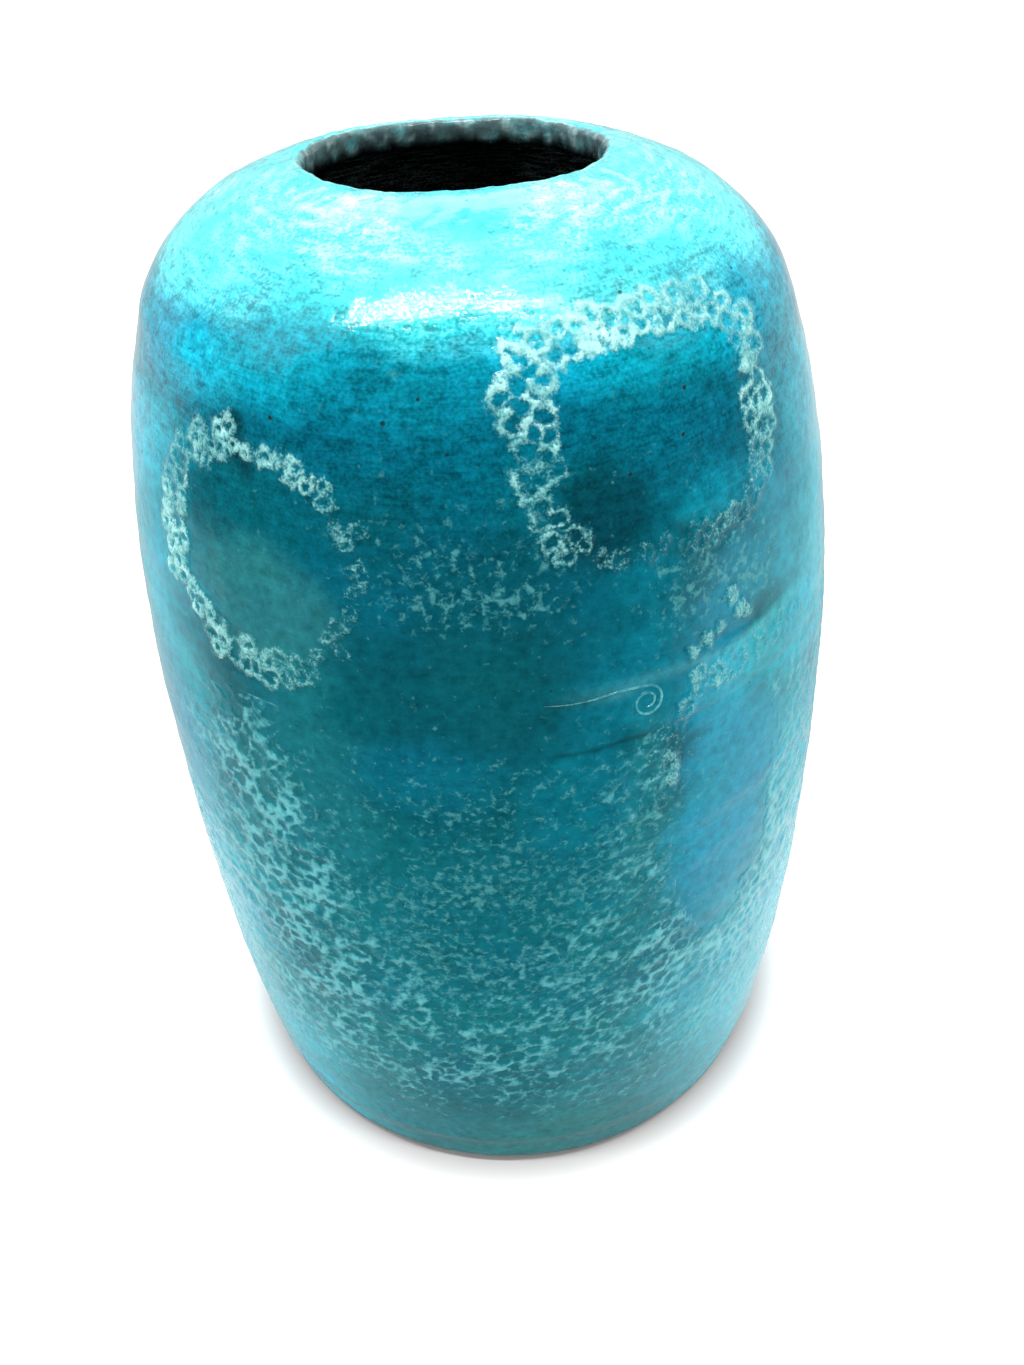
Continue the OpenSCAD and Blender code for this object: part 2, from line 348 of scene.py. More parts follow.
def settle(points, shape):
    """Leans the pot, tips its mouth and wavers its lip, as the wheel and the kiln left it."""
    done = np.array(points, float)
    x, y, z = done.T
    share = z / shape.height
    rise = np.clip((share - 0.6) / 0.4, 0, 1) ** 2
    r = radius_of(done)
    turn = bearing_of(done)
    near = smooth(0.9, 1.0, share) * (1 - smooth(0.5, 1.4, r / shape.mouth_width))
    waver = 0.35 * np.sin(2 * turn + 0.8) + 0.22 * np.sin(3 * turn - 0.4) + 0.12 * np.sin(7 * turn + 2)
    sag = 0.22 * np.sin(2 * turn - 1.1) + 0.14 * np.sin(5 * turn + 0.7)
    stretch = 1 + near * waver * MM / np.maximum(r, 5 * MM)
    done[:, 0] = x * stretch - shape.lean * share**2
    done[:, 1] = y * stretch
    nicked = near > 0.02
    sag[nicked] += 0.16 * clouds(done[nicked], 2.6 * MM, 2, 6)
    done[:, 2] = z - shape.mouth_tip * rise * y + near * sag * MM
    return done


def press(wall, bearing, height, u, v):
    """Bearings and lengths of the points where a flat pattern lies on the wall."""
    s0 = float(wall.length_at(height))
    out_r = float(np.interp(s0, wall.s, wall.out_r))
    out_z = float(np.interp(s0, wall.s, wall.out_z))
    out = np.array([out_r * math.sin(bearing), -out_r * math.cos(bearing), out_z])
    across = np.array([math.cos(bearing), math.sin(bearing), 0])
    up = np.cross(out, across)
    start = wall.place(np.array([bearing]), np.array([s0]))[0]
    points = start + np.outer(u, across) + np.outer(v, up)
    for _ in range(14):
        gap = np.hypot(points[:, 0], points[:, 1]) - wall.radius_at(points[:, 2])
        points = points - np.outer(gap * 0.9, out)
    return bearing_of(points), wall.length_at(points[:, 2])


# Tone of the glaze


# Colours of the glaze by height in mm
BANDS = (
    (2, "foot_sea"),
    (12, "foot_sea"),
    (34, "low_sea"),
    (62, "belly_blue"),
    (92, "belly_blue"),
    (116, "waist_blue"),
    (140, "waist_blue"),
    (158, "deep_teal"),
    (169, "deep_teal"),
    (176, "high_blue"),
    (181, "shoulder_blue"),
    (186, "shoulder_blue"),
    (191, "shoulder_sky"),
    (199, "shoulder_sky"),
)
# Soft ovals of colour on the front, and again on the back: bearing in degrees, height, half width
# and half height in mm, colour and strength
# Ovals in the two side colours are painted light on the sides
PATCHES = (
    (58, 150, 8, 12, "waist_blue", 0.4),
    (30, 172, 16, 12, "high_blue", 0.5),
    (18, 165, 10, 9, "dark_green", 0.9),
    (2, 168, 12, 10, "deep_teal", 0.6),
    (-36, 163, 13, 10, "waist_blue", 0.8),
    (-35, 150, 15, 10, "grey_teal", 0.75),
    (-30, 118, 15, 22, "low_sea", 0.5),
    (26, 138, 18, 12, "window_blue", 0.28),
    (22, 104, 7, 32, "low_sea", 0.5),
    (40, 148, 10, 8, "shoulder_blue", 0.4),
    (60, 164, 12, 16, "high_blue", 0.4),
    (-62, 42, 16, 40, "side_light_pale", 0.2),
    (64, 40, 16, 40, "side_light_pale", 0.22),
    (12, 118, 12, 14, "window_blue", 0.2),
    (50, 112, 12, 16, "side_light_sea", 0.35),
    (-7, 178, 22, 9, "high_blue", 0.7),
    (-14, 168, 15, 9, "deep_teal", 0.5),
    (2, 156, 16, 9, "dark_green", 0.45),
    (-13, 163, 10, 8, "dark_green", 0.3),
    (36, 163, 8, 5, "shoulder_blue", 0.45),
    (-27, 140, 8, 6, "low_sea", 0.3),
    (-48, 181, 11, 5, "side_light_sea", 0.3),
    (36, 88, 12, 22, "window_blue", 0.35),
    (-37, 112, 9, 12, "low_sea", 0.4),
    (24, 154, 8, 5, "shoulder_blue", 0.12),
    (-6, 38, 18, 18, "waist_blue", 0.5),
    (-4, 88, 19, 20, "waist_blue", 0.5),
    (-4, 140, 24, 14, "dark_green", 0.28),
    (37, 104, 15, 34, "window_blue", 0.85),
    (-60, 112, 11, 26, "window_blue", 0.5),
    (48, 50, 30, 28, "side_light_sea", 0.45),
    (66, 150, 14, 26, "side_light_sea", 0.25),
    (-10, 124, 14, 9, "window_blue", 0.15),
    (-32, 190, 12, 4, "shoulder_blue", 0.4),
    (30, 191, 12, 4, "shoulder_blue", 0.35),
    (48, 189, 10, 4, "shoulder_blue", 0.4),
)
# Two dark marks above the left ring, in the same terms
MARKS = (
    (-37.5, 174, 1.6, 4.0, "dark_green", 0.95),
    (-35.5, 170.5, 1.4, 2.6, "dark_green", 0.95),
)
# Pale mottling, front and back: strength, bearing, half width, height and half height
VEILS = ((0.60, -1, 15, 158, 10), (0.70, 0, 34, 92, 34), (0.66, 36, 14, 149, 8))


def lay_over(shade, colour_wanted, amount):
    """Mixes a colour into the shade of each point."""
    shade += amount[:, None] * (np.array(colour_wanted) - shade)


def tone(wall, bearing, s, glaze):
    """Colour of the glaze at each point, and how frosted and how speckled it is."""
    base = wall.place(bearing, s)
    z = base[:, 2] / MM
    degrees = np.degrees(bearing)
    drift = clouds(base, (26 * MM, 26 * MM, 12 * MM), 3, 11)
    fine = clouds(base, (9 * MM, 9 * MM, 5 * MM), 2, 12)
    level = z + (3.0 * drift + 1.0 * fine) * (1 - 0.55 * smooth(172, 184, z))
    heights = [height for height, _ in BANDS]
    colours = np.array([tuple(getattr(glaze, name)) for _, name in BANDS])
    shade = np.stack([np.interp(level, heights, part) for part in colours.T], axis=1)

    # Painted light: the sides are paler, lower down most of all, where the side light and the limbs'
    # reflections fall
    side = fold(degrees, 0, 180)
    turned_away = np.abs(side - 1) + 6 * drift + 5 * smooth(120, 90, z)
    sea = 0.85 * smooth(38, 72, turned_away) * (1 - smooth(168, 184, z + 4 * drift))
    sea = np.maximum(sea, 0.9 * smooth(26, 60, turned_away) * (1 - smooth(28, 60, z)))
    lay_over(shade, glaze.side_light_sea, sea)
    both = [(at + turn, *rest) for turn in (0, 180) for at, *rest in PATCHES]
    for at, height, wide, tall, name, strength in both + list(MARKS):
        reach = np.radians(fold(degrees, at)) * wall.radius_at(height * MM) / MM
        spread = np.sqrt((reach / wide) ** 2 + ((z - height) / tall) ** 2) + 0.16 * drift + 0.10 * fine
        lay_over(shade, getattr(glaze, name), strength * (1 - smooth(0.55, 1.15, spread)))

    frost = 0.15 * smooth(184, 190, z) + 0.42 * smooth(191, 196, z)
    frost *= smooth(-0.6, 0.3, drift + 0.5 * fine)
    veil = np.zeros(len(z))
    for strength, at, wide, height, tall in VEILS:
        soft = np.exp(-(((side - at) / wide) ** 4 + ((z - height) / tall) ** 4))
        veil = np.maximum(veil, strength * soft)
    # Painted light and shade on the joint: a painted highlight on the ridge, a paler band under it in
    # the lit side colour, and painted shade in the groove under that
    line = swell(z - 1.5 * drift, 138, 1.1) * smooth(6, 20, side) * (1 - smooth(56, 75, side))
    step = smooth(118, 134, z) * (1 - smooth(137.6, 139.0, z - 1.2 * drift))
    step *= smooth(24, 40, side) * (1 - smooth(62, 80, side))
    # Painted shade: darker along the groove
    seam = swell(z - 0.8 * drift, 127.6, 0.45) * smooth(5, 10, side) * (1 - smooth(20, 25, side))
    shade *= (1 - 0.45 * seam)[:, None]
    lay_over(shade, glaze.side_light_sea, 0.5 * step)
    lay_over(shade, glaze.veil_pale, 0.3 * line)
    speckle = veil * (0.85 + 0.5 * drift)
    return shade, np.clip(frost, 0, 1), np.clip(speckle, 0, 1)


def paint(mesh, name, values):
    """Stores one number or colour for each vertex."""
    values = np.asarray(values, float)
    if values.ndim == 1:
        layer = mesh.attributes.new(name, "FLOAT", "POINT")
        layer.data.foreach_set("value", values.astype(np.float32))
        return
    full = np.ones((len(values), 4), np.float32)
    full[:, :3] = values
    layer = mesh.attributes.new(name, "FLOAT_COLOR", "POINT")
    layer.data.foreach_set("color", full.ravel())


def dress_points(mesh, wall, bearing, s, glaze):
    """Stores the glaze's tone, frost and speckle on a mesh."""
    shade, frost, speckle = tone(wall, bearing, s, glaze)
    paint(mesh, "tint", shade)
    paint(mesh, "frost", frost)
    paint(mesh, "speckle", speckle)
    z = wall.place(bearing, s)[:, 2] / MM
    paint(mesh, "grit", smooth(150, 178, z) * (1 - 0.45 * smooth(191, 197, z)))


# Meshes


def where(mesh):
    """The mesh's points as an array."""
    flat = np.empty(len(mesh.vertices) * 3, np.float32)
    mesh.vertices.foreach_get("co", flat)
    return flat.reshape(-1, 3).astype(float)


def put(mesh, points):
    """Moves the mesh's points."""
    mesh.vertices.foreach_set("co", np.asarray(points, np.float32).ravel())
    mesh.update()


def throw(bm, section, steps, closed=True):
    """Turns a section of radius and height round the axis, an eighth at first and then the rest."""
    verts = [bm.verts.new((0, -r, z)) for r, z in section]
    edges = [bm.edges.new(pair) for pair in zip(verts, verts[1:])]
    if closed:
        edges.append(bm.edges.new((verts[-1], verts[0])))
    axis = {"cent": (0, 0, 0), "axis": (0, 0, 1)}
    bmesh.ops.spin(bm, geom=verts + edges, angle=TURN / 8, steps=steps // 8, **axis)
    whole = bm.verts[:] + bm.edges[:] + bm.faces[:]
    bmesh.ops.spin(bm, geom=whole, angle=TURN * 7 / 8, steps=7, use_duplicate=True, **axis)
    bmesh.ops.remove_doubles(bm, verts=bm.verts, dist=0.002 * MM)


def finish_piece(bm, name, material, slot_name, *nodes):
    """Makes the object, gives it its glaze or clay and seats it on the pot."""
    for face in bm.faces:
        face.smooth = True
    mesh = bpy.data.meshes.new(name)
    bm.to_mesh(mesh)
    bm.free()
    mesh.materials.append(material)
    piece = bpy.data.objects.new(name, mesh)
    bpy.context.scene.collection.objects.link(piece)
    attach(piece, BODY)
    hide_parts(*nodes)
    return piece


def turned(section, steps):
    """A closed ring of material, thrown from its section."""
    bm = bmesh.new()
    throw(bm, section, steps)
    bmesh.ops.recalc_face_normals(bm, faces=bm.faces)
    return bm


# Materials


class Graph:
    """A node tree, with short names for what the materials need."""

    def __init__(self, tree):
        self.tree = tree

    def feed(self, socket, value):
        """Links another node's output to a socket, or sets its value."""
        if isinstance(value, bpy.types.NodeSocket):
            self.tree.links.new(value, socket)
        else:
            socket.default_value = value

    def add(self, kind, options=None, **inputs):
        """Adds a shader node, sets its options, and sets or links its inputs by name."""
        item = self.tree.nodes.new(kind)
        for name, value in (options or {}).items():
            setattr(item, name, value)
        for name, value in inputs.items():
            self.feed(item.inputs[name.replace("_", " ")], value)
        return item

    def maths(self, operation, *values, kind="ShaderNodeMath"):
        """One sum on values."""
        item = self.add(kind, {"operation": operation})
        for socket, value in zip(item.inputs, values):
            self.feed(socket, value)
        return item.outputs[0]

    def times(self, first, second):
        """The product of two values."""
        return self.maths("MULTIPLY", first, second)

    def line(self, value, slope, start):
        """A value times a slope, added to a start."""
        return self.maths("MULTIPLY_ADD", value, slope, start)

    def less(self, first, second=0.5):
        """The first value less the second."""
        return self.maths("SUBTRACT", first, second)

    def shift(self, vector, scale, start):
        """A vector times a scale, added to a start."""
        return self.maths("MULTIPLY_ADD", vector, scale, start, kind="ShaderNodeVectorMath")

    def length_of(self, vector):
        """How long a vector is."""
        item = self.add("ShaderNodeVectorMath", {"operation": "LENGTH"}, Vector=vector)
        return item.outputs["Value"]

    def mix(self, factor, first, second, mode="MIX"):
        """Mixes two colours."""
        item = self.add("ShaderNodeMix", {"data_type": "RGBA", "blend_type": mode})
        for index, value in ((0, factor), (6, first), (7, second)):
            self.feed(item.inputs[index], value)
        return item.outputs[2]

    def ramp(self, value, low, high, bottom=0.0, top=1.0):
        """Takes a value from one range to another with soft ends."""
        ends = {"From_Min": low, "From_Max": high, "To_Min": bottom, "To_Max": top}
        soft = {"interpolation_type": "SMOOTHSTEP"}
        return self.add("ShaderNodeMapRange", soft, Value=value, **ends).outputs[0]

    def place(self):
        """Where each point is on the object."""
        return self.add("ShaderNodeTexCoord").outputs["Object"]

    def noise(self, vector, size, **more):
        """Noise whose clouds are size metres wide."""
        return self.add("ShaderNodeTexNoise", Vector=vector, Scale=1 / size, **more)

    def grain(self, vector, size, detail=2.0, rough=0.5):
        """A number from noise whose clouds are size metres wide."""
        return self.noise(vector, size, Detail=detail, Roughness=rough).outputs[0]

    def cells(self, vector, size):
        """Cells size metres wide: the distance from their middles, and a colour for each."""
        item = self.add("ShaderNodeTexVoronoi", {"feature": "F1"}, Vector=vector, Scale=1 / size)
        return item.outputs["Distance"], item.outputs["Color"]

    def pick(self, colour_given):
        """A number from a colour, to pick out some cells."""
        return self.add("ShaderNodeSeparateColor", Color=colour_given).outputs[0]

    def joined(self, red, green, blue):
        """A colour from three values."""
        return self.add("ShaderNodeCombineColor", Red=red, Green=green, Blue=blue).outputs[0]

    def grey(self, level):
        """A grey from one value."""
        return self.joined(level, level, level)

    def stored(self, name, output="Fac"):
        """A number or colour kept on the mesh."""
        return self.add("ShaderNodeAttribute", {"attribute_name": name}).outputs[output]


SKIN_SOCKETS = (
    ("INPUT", "Color", ("Tint", "Veil")),
    ("INPUT", "Float", ("Frost", "Speckle", "Grit", "Contrast")),
    ("OUTPUT", "Color", ("Colour",)),
    ("OUTPUT", "Float", ("Roughness", "Height")),
)
# Frosted glaze, the painted shade inside a pinhole, burst bubbles in the foam, and iron in the clay
FROST_PALE = (0.62, 0.86, 0.83, 1)
PIT_SHADE = (0.006, 0.02, 0.022, 1)
BUBBLE_DARK = (0.03, 0.22, 0.22, 1)
IRON_DARK = (0.03, 0.02, 0.014, 1)
# Depths of the fine relief
GLAZE_RELIEF = 0.055 * MM
LINER_RELIEF = 0.09 * MM
CLAY_RELIEF = 0.15 * MM


def glaze_group():
    """Grain, brush lines, clouds, pinholes and pale specks that every glaze shares."""
    group = bpy.data.node_groups.new("glaze skin", "ShaderNodeTree")
    for way, kind, names in SKIN_SOCKETS:
        for name in names:
            group.interface.new_socket(name, in_out=way, socket_type="NodeSocket" + kind)
    graph = Graph(group)
    given = graph.add("NodeGroupInput").outputs
    grit = given["Grit"]
    place = graph.place()
    flat = graph.add("ShaderNodeMapping", Vector=place, Scale=(1, 1, 7)).outputs[0]
    fine = graph.grain(place, 0.5 * MM)
    mottle = graph.grain(place, 1.9 * MM, 3, 0.6)
    cloud = graph.grain(place, 9 * MM)
    drift = graph.grain(place, 17 * MM)
    strokes = graph.grain(flat, 4.5 * MM, 4, 0.65)
    bend = graph.noise(place, 2.2 * MM).outputs["Color"]
    bent = graph.shift(bend, (1.6 * MM, 1.6 * MM, 1.6 * MM), place)
    away, _ = graph.cells(bent, 2.1 * MM)
    # Light and dark over the tint, a little greener or bluer from place to place
    total = graph.times(graph.less(fine), graph.line(grit, 0.75, 0.45))
    total = graph.line(graph.less(mottle), 1.0, total)
    total = graph.line(graph.less(cloud), 0.25, total)
    brush = graph.times(graph.less(strokes), graph.line(grit, 0.7, 0.4))
    total = graph.maths("ADD", brush, total)
    total = graph.line(graph.less(away, 0.45), 0.35, total)
    swing = graph.times(total, given["Contrast"])
    level = graph.maths("MAXIMUM", graph.line(swing, 1.2, 1.0), 0.55)
    hue = graph.line(drift, 0.9, -0.45)
    green = graph.times(level, graph.line(hue, 0.10, 1.0))
    blue = graph.times(level, graph.line(hue, -0.22, 1.0))
    shade = graph.mix(1.0, given["Tint"], graph.joined(level, green, blue), "MULTIPLY")
    # Frost and pale specks
    frosty = graph.maths("ADD", graph.times(fine, 0.4), graph.times(strokes, 0.6))
    frosty = graph.times(graph.ramp(frosty, 0.42, 0.66), given["Frost"])
    shade = graph.mix(frosty, shade, FROST_PALE)
    spots = graph.grain(bent, 1.4 * MM, 3, 0.6)
    pale = graph.ramp(graph.line(given["Speckle"], 0.24, spots), 0.62, 0.86)
    shade = graph.mix(graph.times(pale, 0.7), shade, given["Veil"])
    # Pinholes, in some of the cells, with painted shade inside them
    away, chance = graph.cells(place, 4.2 * MM)
    size = graph.line(grit, 0.05, 0.055)
    size = graph.times(graph.ramp(graph.pick(chance), 0.45, 0.8), size)
    hole = graph.ramp(graph.less(size, away), 0.0, 0.03)
    shade = graph.mix(graph.times(hole, 0.85), shade, PIT_SHADE)
    rough = graph.times(mottle, graph.line(grit, -0.09, 0.14))
    rough = graph.line(frosty, 0.25, graph.maths("ADD", rough, 0.01))
    height = graph.line(strokes, 0.7, graph.times(fine, 0.14))
    height = graph.line(mottle, 1.3, height)
    height = graph.less(graph.times(height, graph.line(grit, 0.25, 1.0)), hole)
    graph.add("NodeGroupOutput", Colour=shade, Roughness=rough, Height=height)
    return group


def new_material(name):
    """An empty material with its shader and output."""
    material = bpy.data.materials.new(name)
    material.use_nodes = True
    graph = Graph(material.node_tree)
    graph.tree.nodes.clear()
    shader = graph.add("ShaderNodeBsdfPrincipled")
    graph.add("ShaderNodeOutputMaterial", Surface=shader.outputs[0])
    return material, graph, shader


def skin_of(graph, glaze, frost=0.0, speckle=0.0, grit=0.0, contrast=1.0):
    """Places the shared glaze skin with its own values over the mesh's tint."""
    group = bpy.data.node_groups.get("glaze skin") or glaze_group()
    values = {"Frost": frost, "Speckle": speckle, "Grit": grit, "Contrast": contrast}
    colours = {"Tint": graph.stored("tint", "Color"), "Veil": (*glaze.veil_pale, 1)}
    return graph.add("ShaderNodeGroup", {"node_tree": group}, **values, **colours).outputs


def glazed(graph, glaze):
    """The shared skin with what the mesh stores, calmer low down."""
    grit = graph.stored("grit")
    contrast = graph.line(grit, 0.35, 0.70)
    return skin_of(graph, glaze, graph.stored("frost"), graph.stored("speckle"), grit, contrast)


def finish_shader(graph, shader, colour_now, rough, height, depth):
    """Feeds a shader its colour, roughness and fine relief."""
    bump = graph.add("ShaderNodeBump", Strength=1.0, Distance=depth, Height=height)
    graph.feed(shader.inputs["Base Color"], colour_now)
    graph.feed(shader.inputs["Roughness"], rough)
    graph.feed(shader.inputs["Normal"], bump.outputs[0])


def turquoise_material(glaze):
    """The glassy turquoise coat."""
    material, graph, shader = new_material("turquoise glaze")
    skin = glazed(graph, glaze)
    finish_shader(graph, shader, skin["Colour"], skin["Roughness"], skin["Height"], GLAZE_RELIEF)
    return material


def net_material(glaze):
    """The netted coat: the turquoise between its strands, paler on them."""
    material, graph, shader = new_material("netted glaze")
    skin = glazed(graph, glaze)
    place = graph.place()
    fine = graph.less(graph.grain(place, 0.7 * MM, 3, 0.6))
    patchy = graph.less(graph.grain(place, 2.4 * MM))
    strand = graph.stored("strand")
    torn = graph.line(patchy, 1.3, graph.line(fine, 1.1, strand))
    cover = graph.times(graph.ramp(torn, 0.15, 1.15), 0.9)
    cover = graph.times(cover, graph.ramp(strand, 0.0, 0.25))
    shade = graph.mix(cover, skin["Colour"], (*glaze.net_pale, 1))
    finish_shader(graph, shader, shade, skin["Roughness"], skin["Height"], GLAZE_RELIEF)
    return material


def foam_material(glaze):
    """Foamed glaze: pale, matt and full of tiny burst bubbles, thinning out into the turquoise."""
    material, graph, shader = new_material("foam glaze")
    skin = glazed(graph, glaze)
    place = graph.place()
    rim = graph.stored("rim")
    fine = graph.grain(place, 0.42 * MM)
    mottle = graph.grain(place, 1.3 * MM, 3, 0.6)
    pale = graph.ramp(graph.line(mottle, 0.7, graph.stored("foam")), 1.0, 1.45)
    body = graph.mix(pale, (*glaze.foam_mint, 1), (*glaze.foam_white, 1))
    body = graph.mix(1.0, body, graph.grey(graph.line(fine, 0.6, 0.70)), "MULTIPLY")
    edge = graph.line(graph.less(fine), 1.1, rim)
    edge = graph.line(graph.less(mottle), 0.9, edge)
    cover = graph.times(graph.ramp(edge, 0.22, 1.0), graph.ramp(rim, 0.0, 0.2))
    body = graph.mix(cover, skin["Colour"], body)
    away, chance = graph.cells(place, 0.9 * MM)
    hole = graph.times(graph.ramp(away, 0.28, 0.16), graph.ramp(graph.pick(chance), 0.5, 0.7))
    hole = graph.times(hole, cover)
    body = graph.mix(graph.times(hole, 0.45), body, BUBBLE_DARK)
    rough = graph.line(cover, 0.35, skin["Roughness"])
    foamy = graph.times(graph.less(mottle, hole), cover)
    height = graph.line(foamy, 1.6, skin["Height"])
    finish_shader(graph, shader, body, rough, height, GLAZE_RELIEF)
    return material


def liner_material(glaze):
    """Liner that turns turquoise where it runs over the lip, and dulls inside; its dark inside the mouth
    is painted shade.
    """
    material, graph, shader = new_material("liner glaze")
    skin = skin_of(graph, glaze, graph.stored("frost"))
    # The shine is turned down where the painted shade inside the mouth is deep
    graph.feed(shader.inputs["Specular IOR Level"], graph.line(graph.stored("deep"), -0.5, 0.5))
    finish_shader(graph, shader, skin["Colour"], skin["Roughness"], skin["Height"], LINER_RELIEF)
    return material


def clay_material(name, dark):
    """Fired stoneware with grog and iron specks."""
    material, graph, shader = new_material(name)
    place = graph.place()
    fine = graph.grain(place, 0.5 * MM, 3, 0.6)
    cloud = graph.grain(place, 9 * MM, 3)
    darker, paler = ((*[share * c for c in dark], 1) for share in (0.7, 1.25))
    body = graph.mix(cloud, darker, paler)
    away, chance = graph.cells(place, 2.1 * MM)
    iron = graph.times(graph.ramp(away, 0.22, 0.12), graph.ramp(graph.pick(chance), 0.4, 0.6))
    body = graph.mix(iron, body, IRON_DARK)
    body = graph.mix(1.0, body, graph.grey(graph.line(fine, 0.5, 0.75)), "MULTIPLY")
    rough = graph.line(fine, 0.25, 0.65)
    finish_shader(graph, shader, body, rough, graph.less(fine, iron), CLAY_RELIEF)
    return material


# Pieces


def workshop():
    """The wall of the pot, and the settings of its glazes and its foam."""
    scene = bpy.context.scene
    return Wall(scene.vase_shape), scene.vase_glaze, scene.vase_foam


def seat(piece, points, wall):
    """Puts a piece's points where the settled pot has them."""
    put(piece.data, settle(points, wall.shape))


def lay_sheet(piece, wall, bearing, s, rise, back, glaze, sunk=BACK_DEPTH):
    """Lays a sheet on the wall, its face at a rise over the coat and its back sunk into it."""
    base = wall.relief(bearing, s)
    seat(piece, wall.place(bearing, s, np.where(back, base - sunk, base + rise)), wall)
    dress_points(piece.data, wall, bearing, s, glaze)


class VASE_OT_clay(bpy.types.Operator):
    """Throw the two clay sections and the slip between them"""

    bl_idname = "vase.clay"
    bl_label = "Clay"

    def execute(self, context):
        wall, glaze, _ = workshop()
        # The clay's colour holds painted shade for the contact shade under the foot
        clay = clay_material("bare clay", tuple(glaze.clay_and_foot_shade))
        slip = clay_material("joint slip", tuple(0.8 * c for c in glaze.clay_and_foot_shade))
        outer_r = wall.r - wall.glaze * wall.out_r
        outer_z = wall.z - wall.glaze * wall.out_z
        inner_r, inner_z = wall.inner()
        joint = wall.joint
        top = joint + SLIP
        out_r, out_top = [float(np.interp(z, outer_z, outer_r)) for z in (joint, top)]
        in_r, in_top = [float(np.interp(z, inner_z, inner_r)) for z in (joint, top)]
        mid_r = (out_r + in_r) / 2

        # Under the foot: the hollow, the ring's inner corner, its face and its outer bevel
        foot = wall.shape.foot_width / 2
        edge = foot - wall.glaze
        ring = foot - FOOT_RING
        low = [(ring * k / 30, FOOT_HOLLOW) for k in range(30)]
        corner = ((-1.2, 3.5), (-0.3, 3.0), (0, 2.2), (0.1, 0.5), (0.7, 0), (3, 0))
        low += [(ring + r * MM, z * MM) for r, z in corner]
        bevel = ((-3.5, 0), (-1.6, 0), (-0.7, 0.5))
        low += [(edge + r * MM, z * MM) for r, z in bevel]
        heights = np.linspace(1.6 * MM, joint, int(round((joint - 1.6 * MM) / (3 * MM))) + 1)
        low += [(float(np.interp(h, outer_z, outer_r)), float(h)) for h in heights]
        low += [(mid_r, joint - GROOVE), (in_r, joint)]
        low += [p for p in wall.hollow(0.0, 70)[::-1] if p[1] <= joint - 0.5 * MM]
        piece = finish_piece(turned(low, 240), "lower_clay", clay, "clay", "lower_section")
        points = where(piece.data)
        marks = (points[:, 2] < 3.6 * MM) & (points[:, 2] > 3.3 * MM)
        points[:, 2] -= np.where(marks, 0.16 * MM * np.sin(radius_of(points) / (1.35 * MM)), 0)
        seat(piece, points, wall)

        high = [(mid_r, joint - GROOVE + SLIP)]
        lengths = np.linspace(wall.length_at(top), wall.length, 40)
        high += [(r, max(z, top)) for r, z in wall.coat(lengths, -wall.glaze)]
        high += wall.lip(-wall.glaze, 7)[1:]
        high += [p for p in wall.hollow(0.0, 70)[::-1] if p[1] > top + 0.3 * MM]
        high += [(in_top, top)]
        piece = finish_piece(turned(high, 192), "upper_clay", clay, "clay", "upper_section")
        seat(piece, where(piece.data), wall)

        seam = [(mid_r, joint - GROOVE), (out_r, joint), (out_top, top)]
        seam += [(mid_r, joint - GROOVE + SLIP), (in_top, top), (in_r, joint)]
        piece = finish_piece(turned(seam, 192), "joint_slip", slip, "slip", "slip_joint")
        seat(piece, where(piece.data), wall)
        return {"FINISHED"}


class VASE_OT_turquoise(bpy.types.Operator):
    """Pour the turquoise coat over the outside"""

    bl_idname = "vase.turquoise"
    bl_label = "Turquoise coat"

    def execute(self, context):
        wall, glaze, _ = workshop()
        start, low, high = [float(wall.length_at(z)) for z in (COAT_START, 124 * MM, 140 * MM)]
        # Rows are closer over the joint's band
        rows = ((start, low, 98), (low, high, 34))
        parts = [np.linspace(bottom, top, count)[:-1] for bottom, top, count in rows]
        lengths = np.concatenate([*parts, np.linspace(high, wall.length, 68)])
        section = wall.coat(lengths, 0)
        section += wall.coat(np.linspace(wall.length, start, 20), -wall.glaze)
        material = turquoise_material(glaze)
        piece = finish_piece(
            turned(section, 440), "turquoise_coat", material, "turquoise_glaze", "turquoise_glaze"
        )
        points = where(piece.data)
        bearing = bearing_of(points)
        s = wall.length_at(points[:, 2])
        outer = radius_of(points) > wall.radius_at(points[:, 2]) - 0.2 * MM
        lift = np.zeros(len(points))
        lift[outer] = wall.relief(bearing[outer], s[outer])
        lift *= 1 - smooth(wall.length - 1.5 * MM, wall.length, s)
        moved = wall.place(bearing, s, lift)
        moved[~outer] = points[~outer]
        seat(piece, moved, wall)
        dress_points(piece.data, wall, bearing, s, glaze)
        return {"FINISHED"}


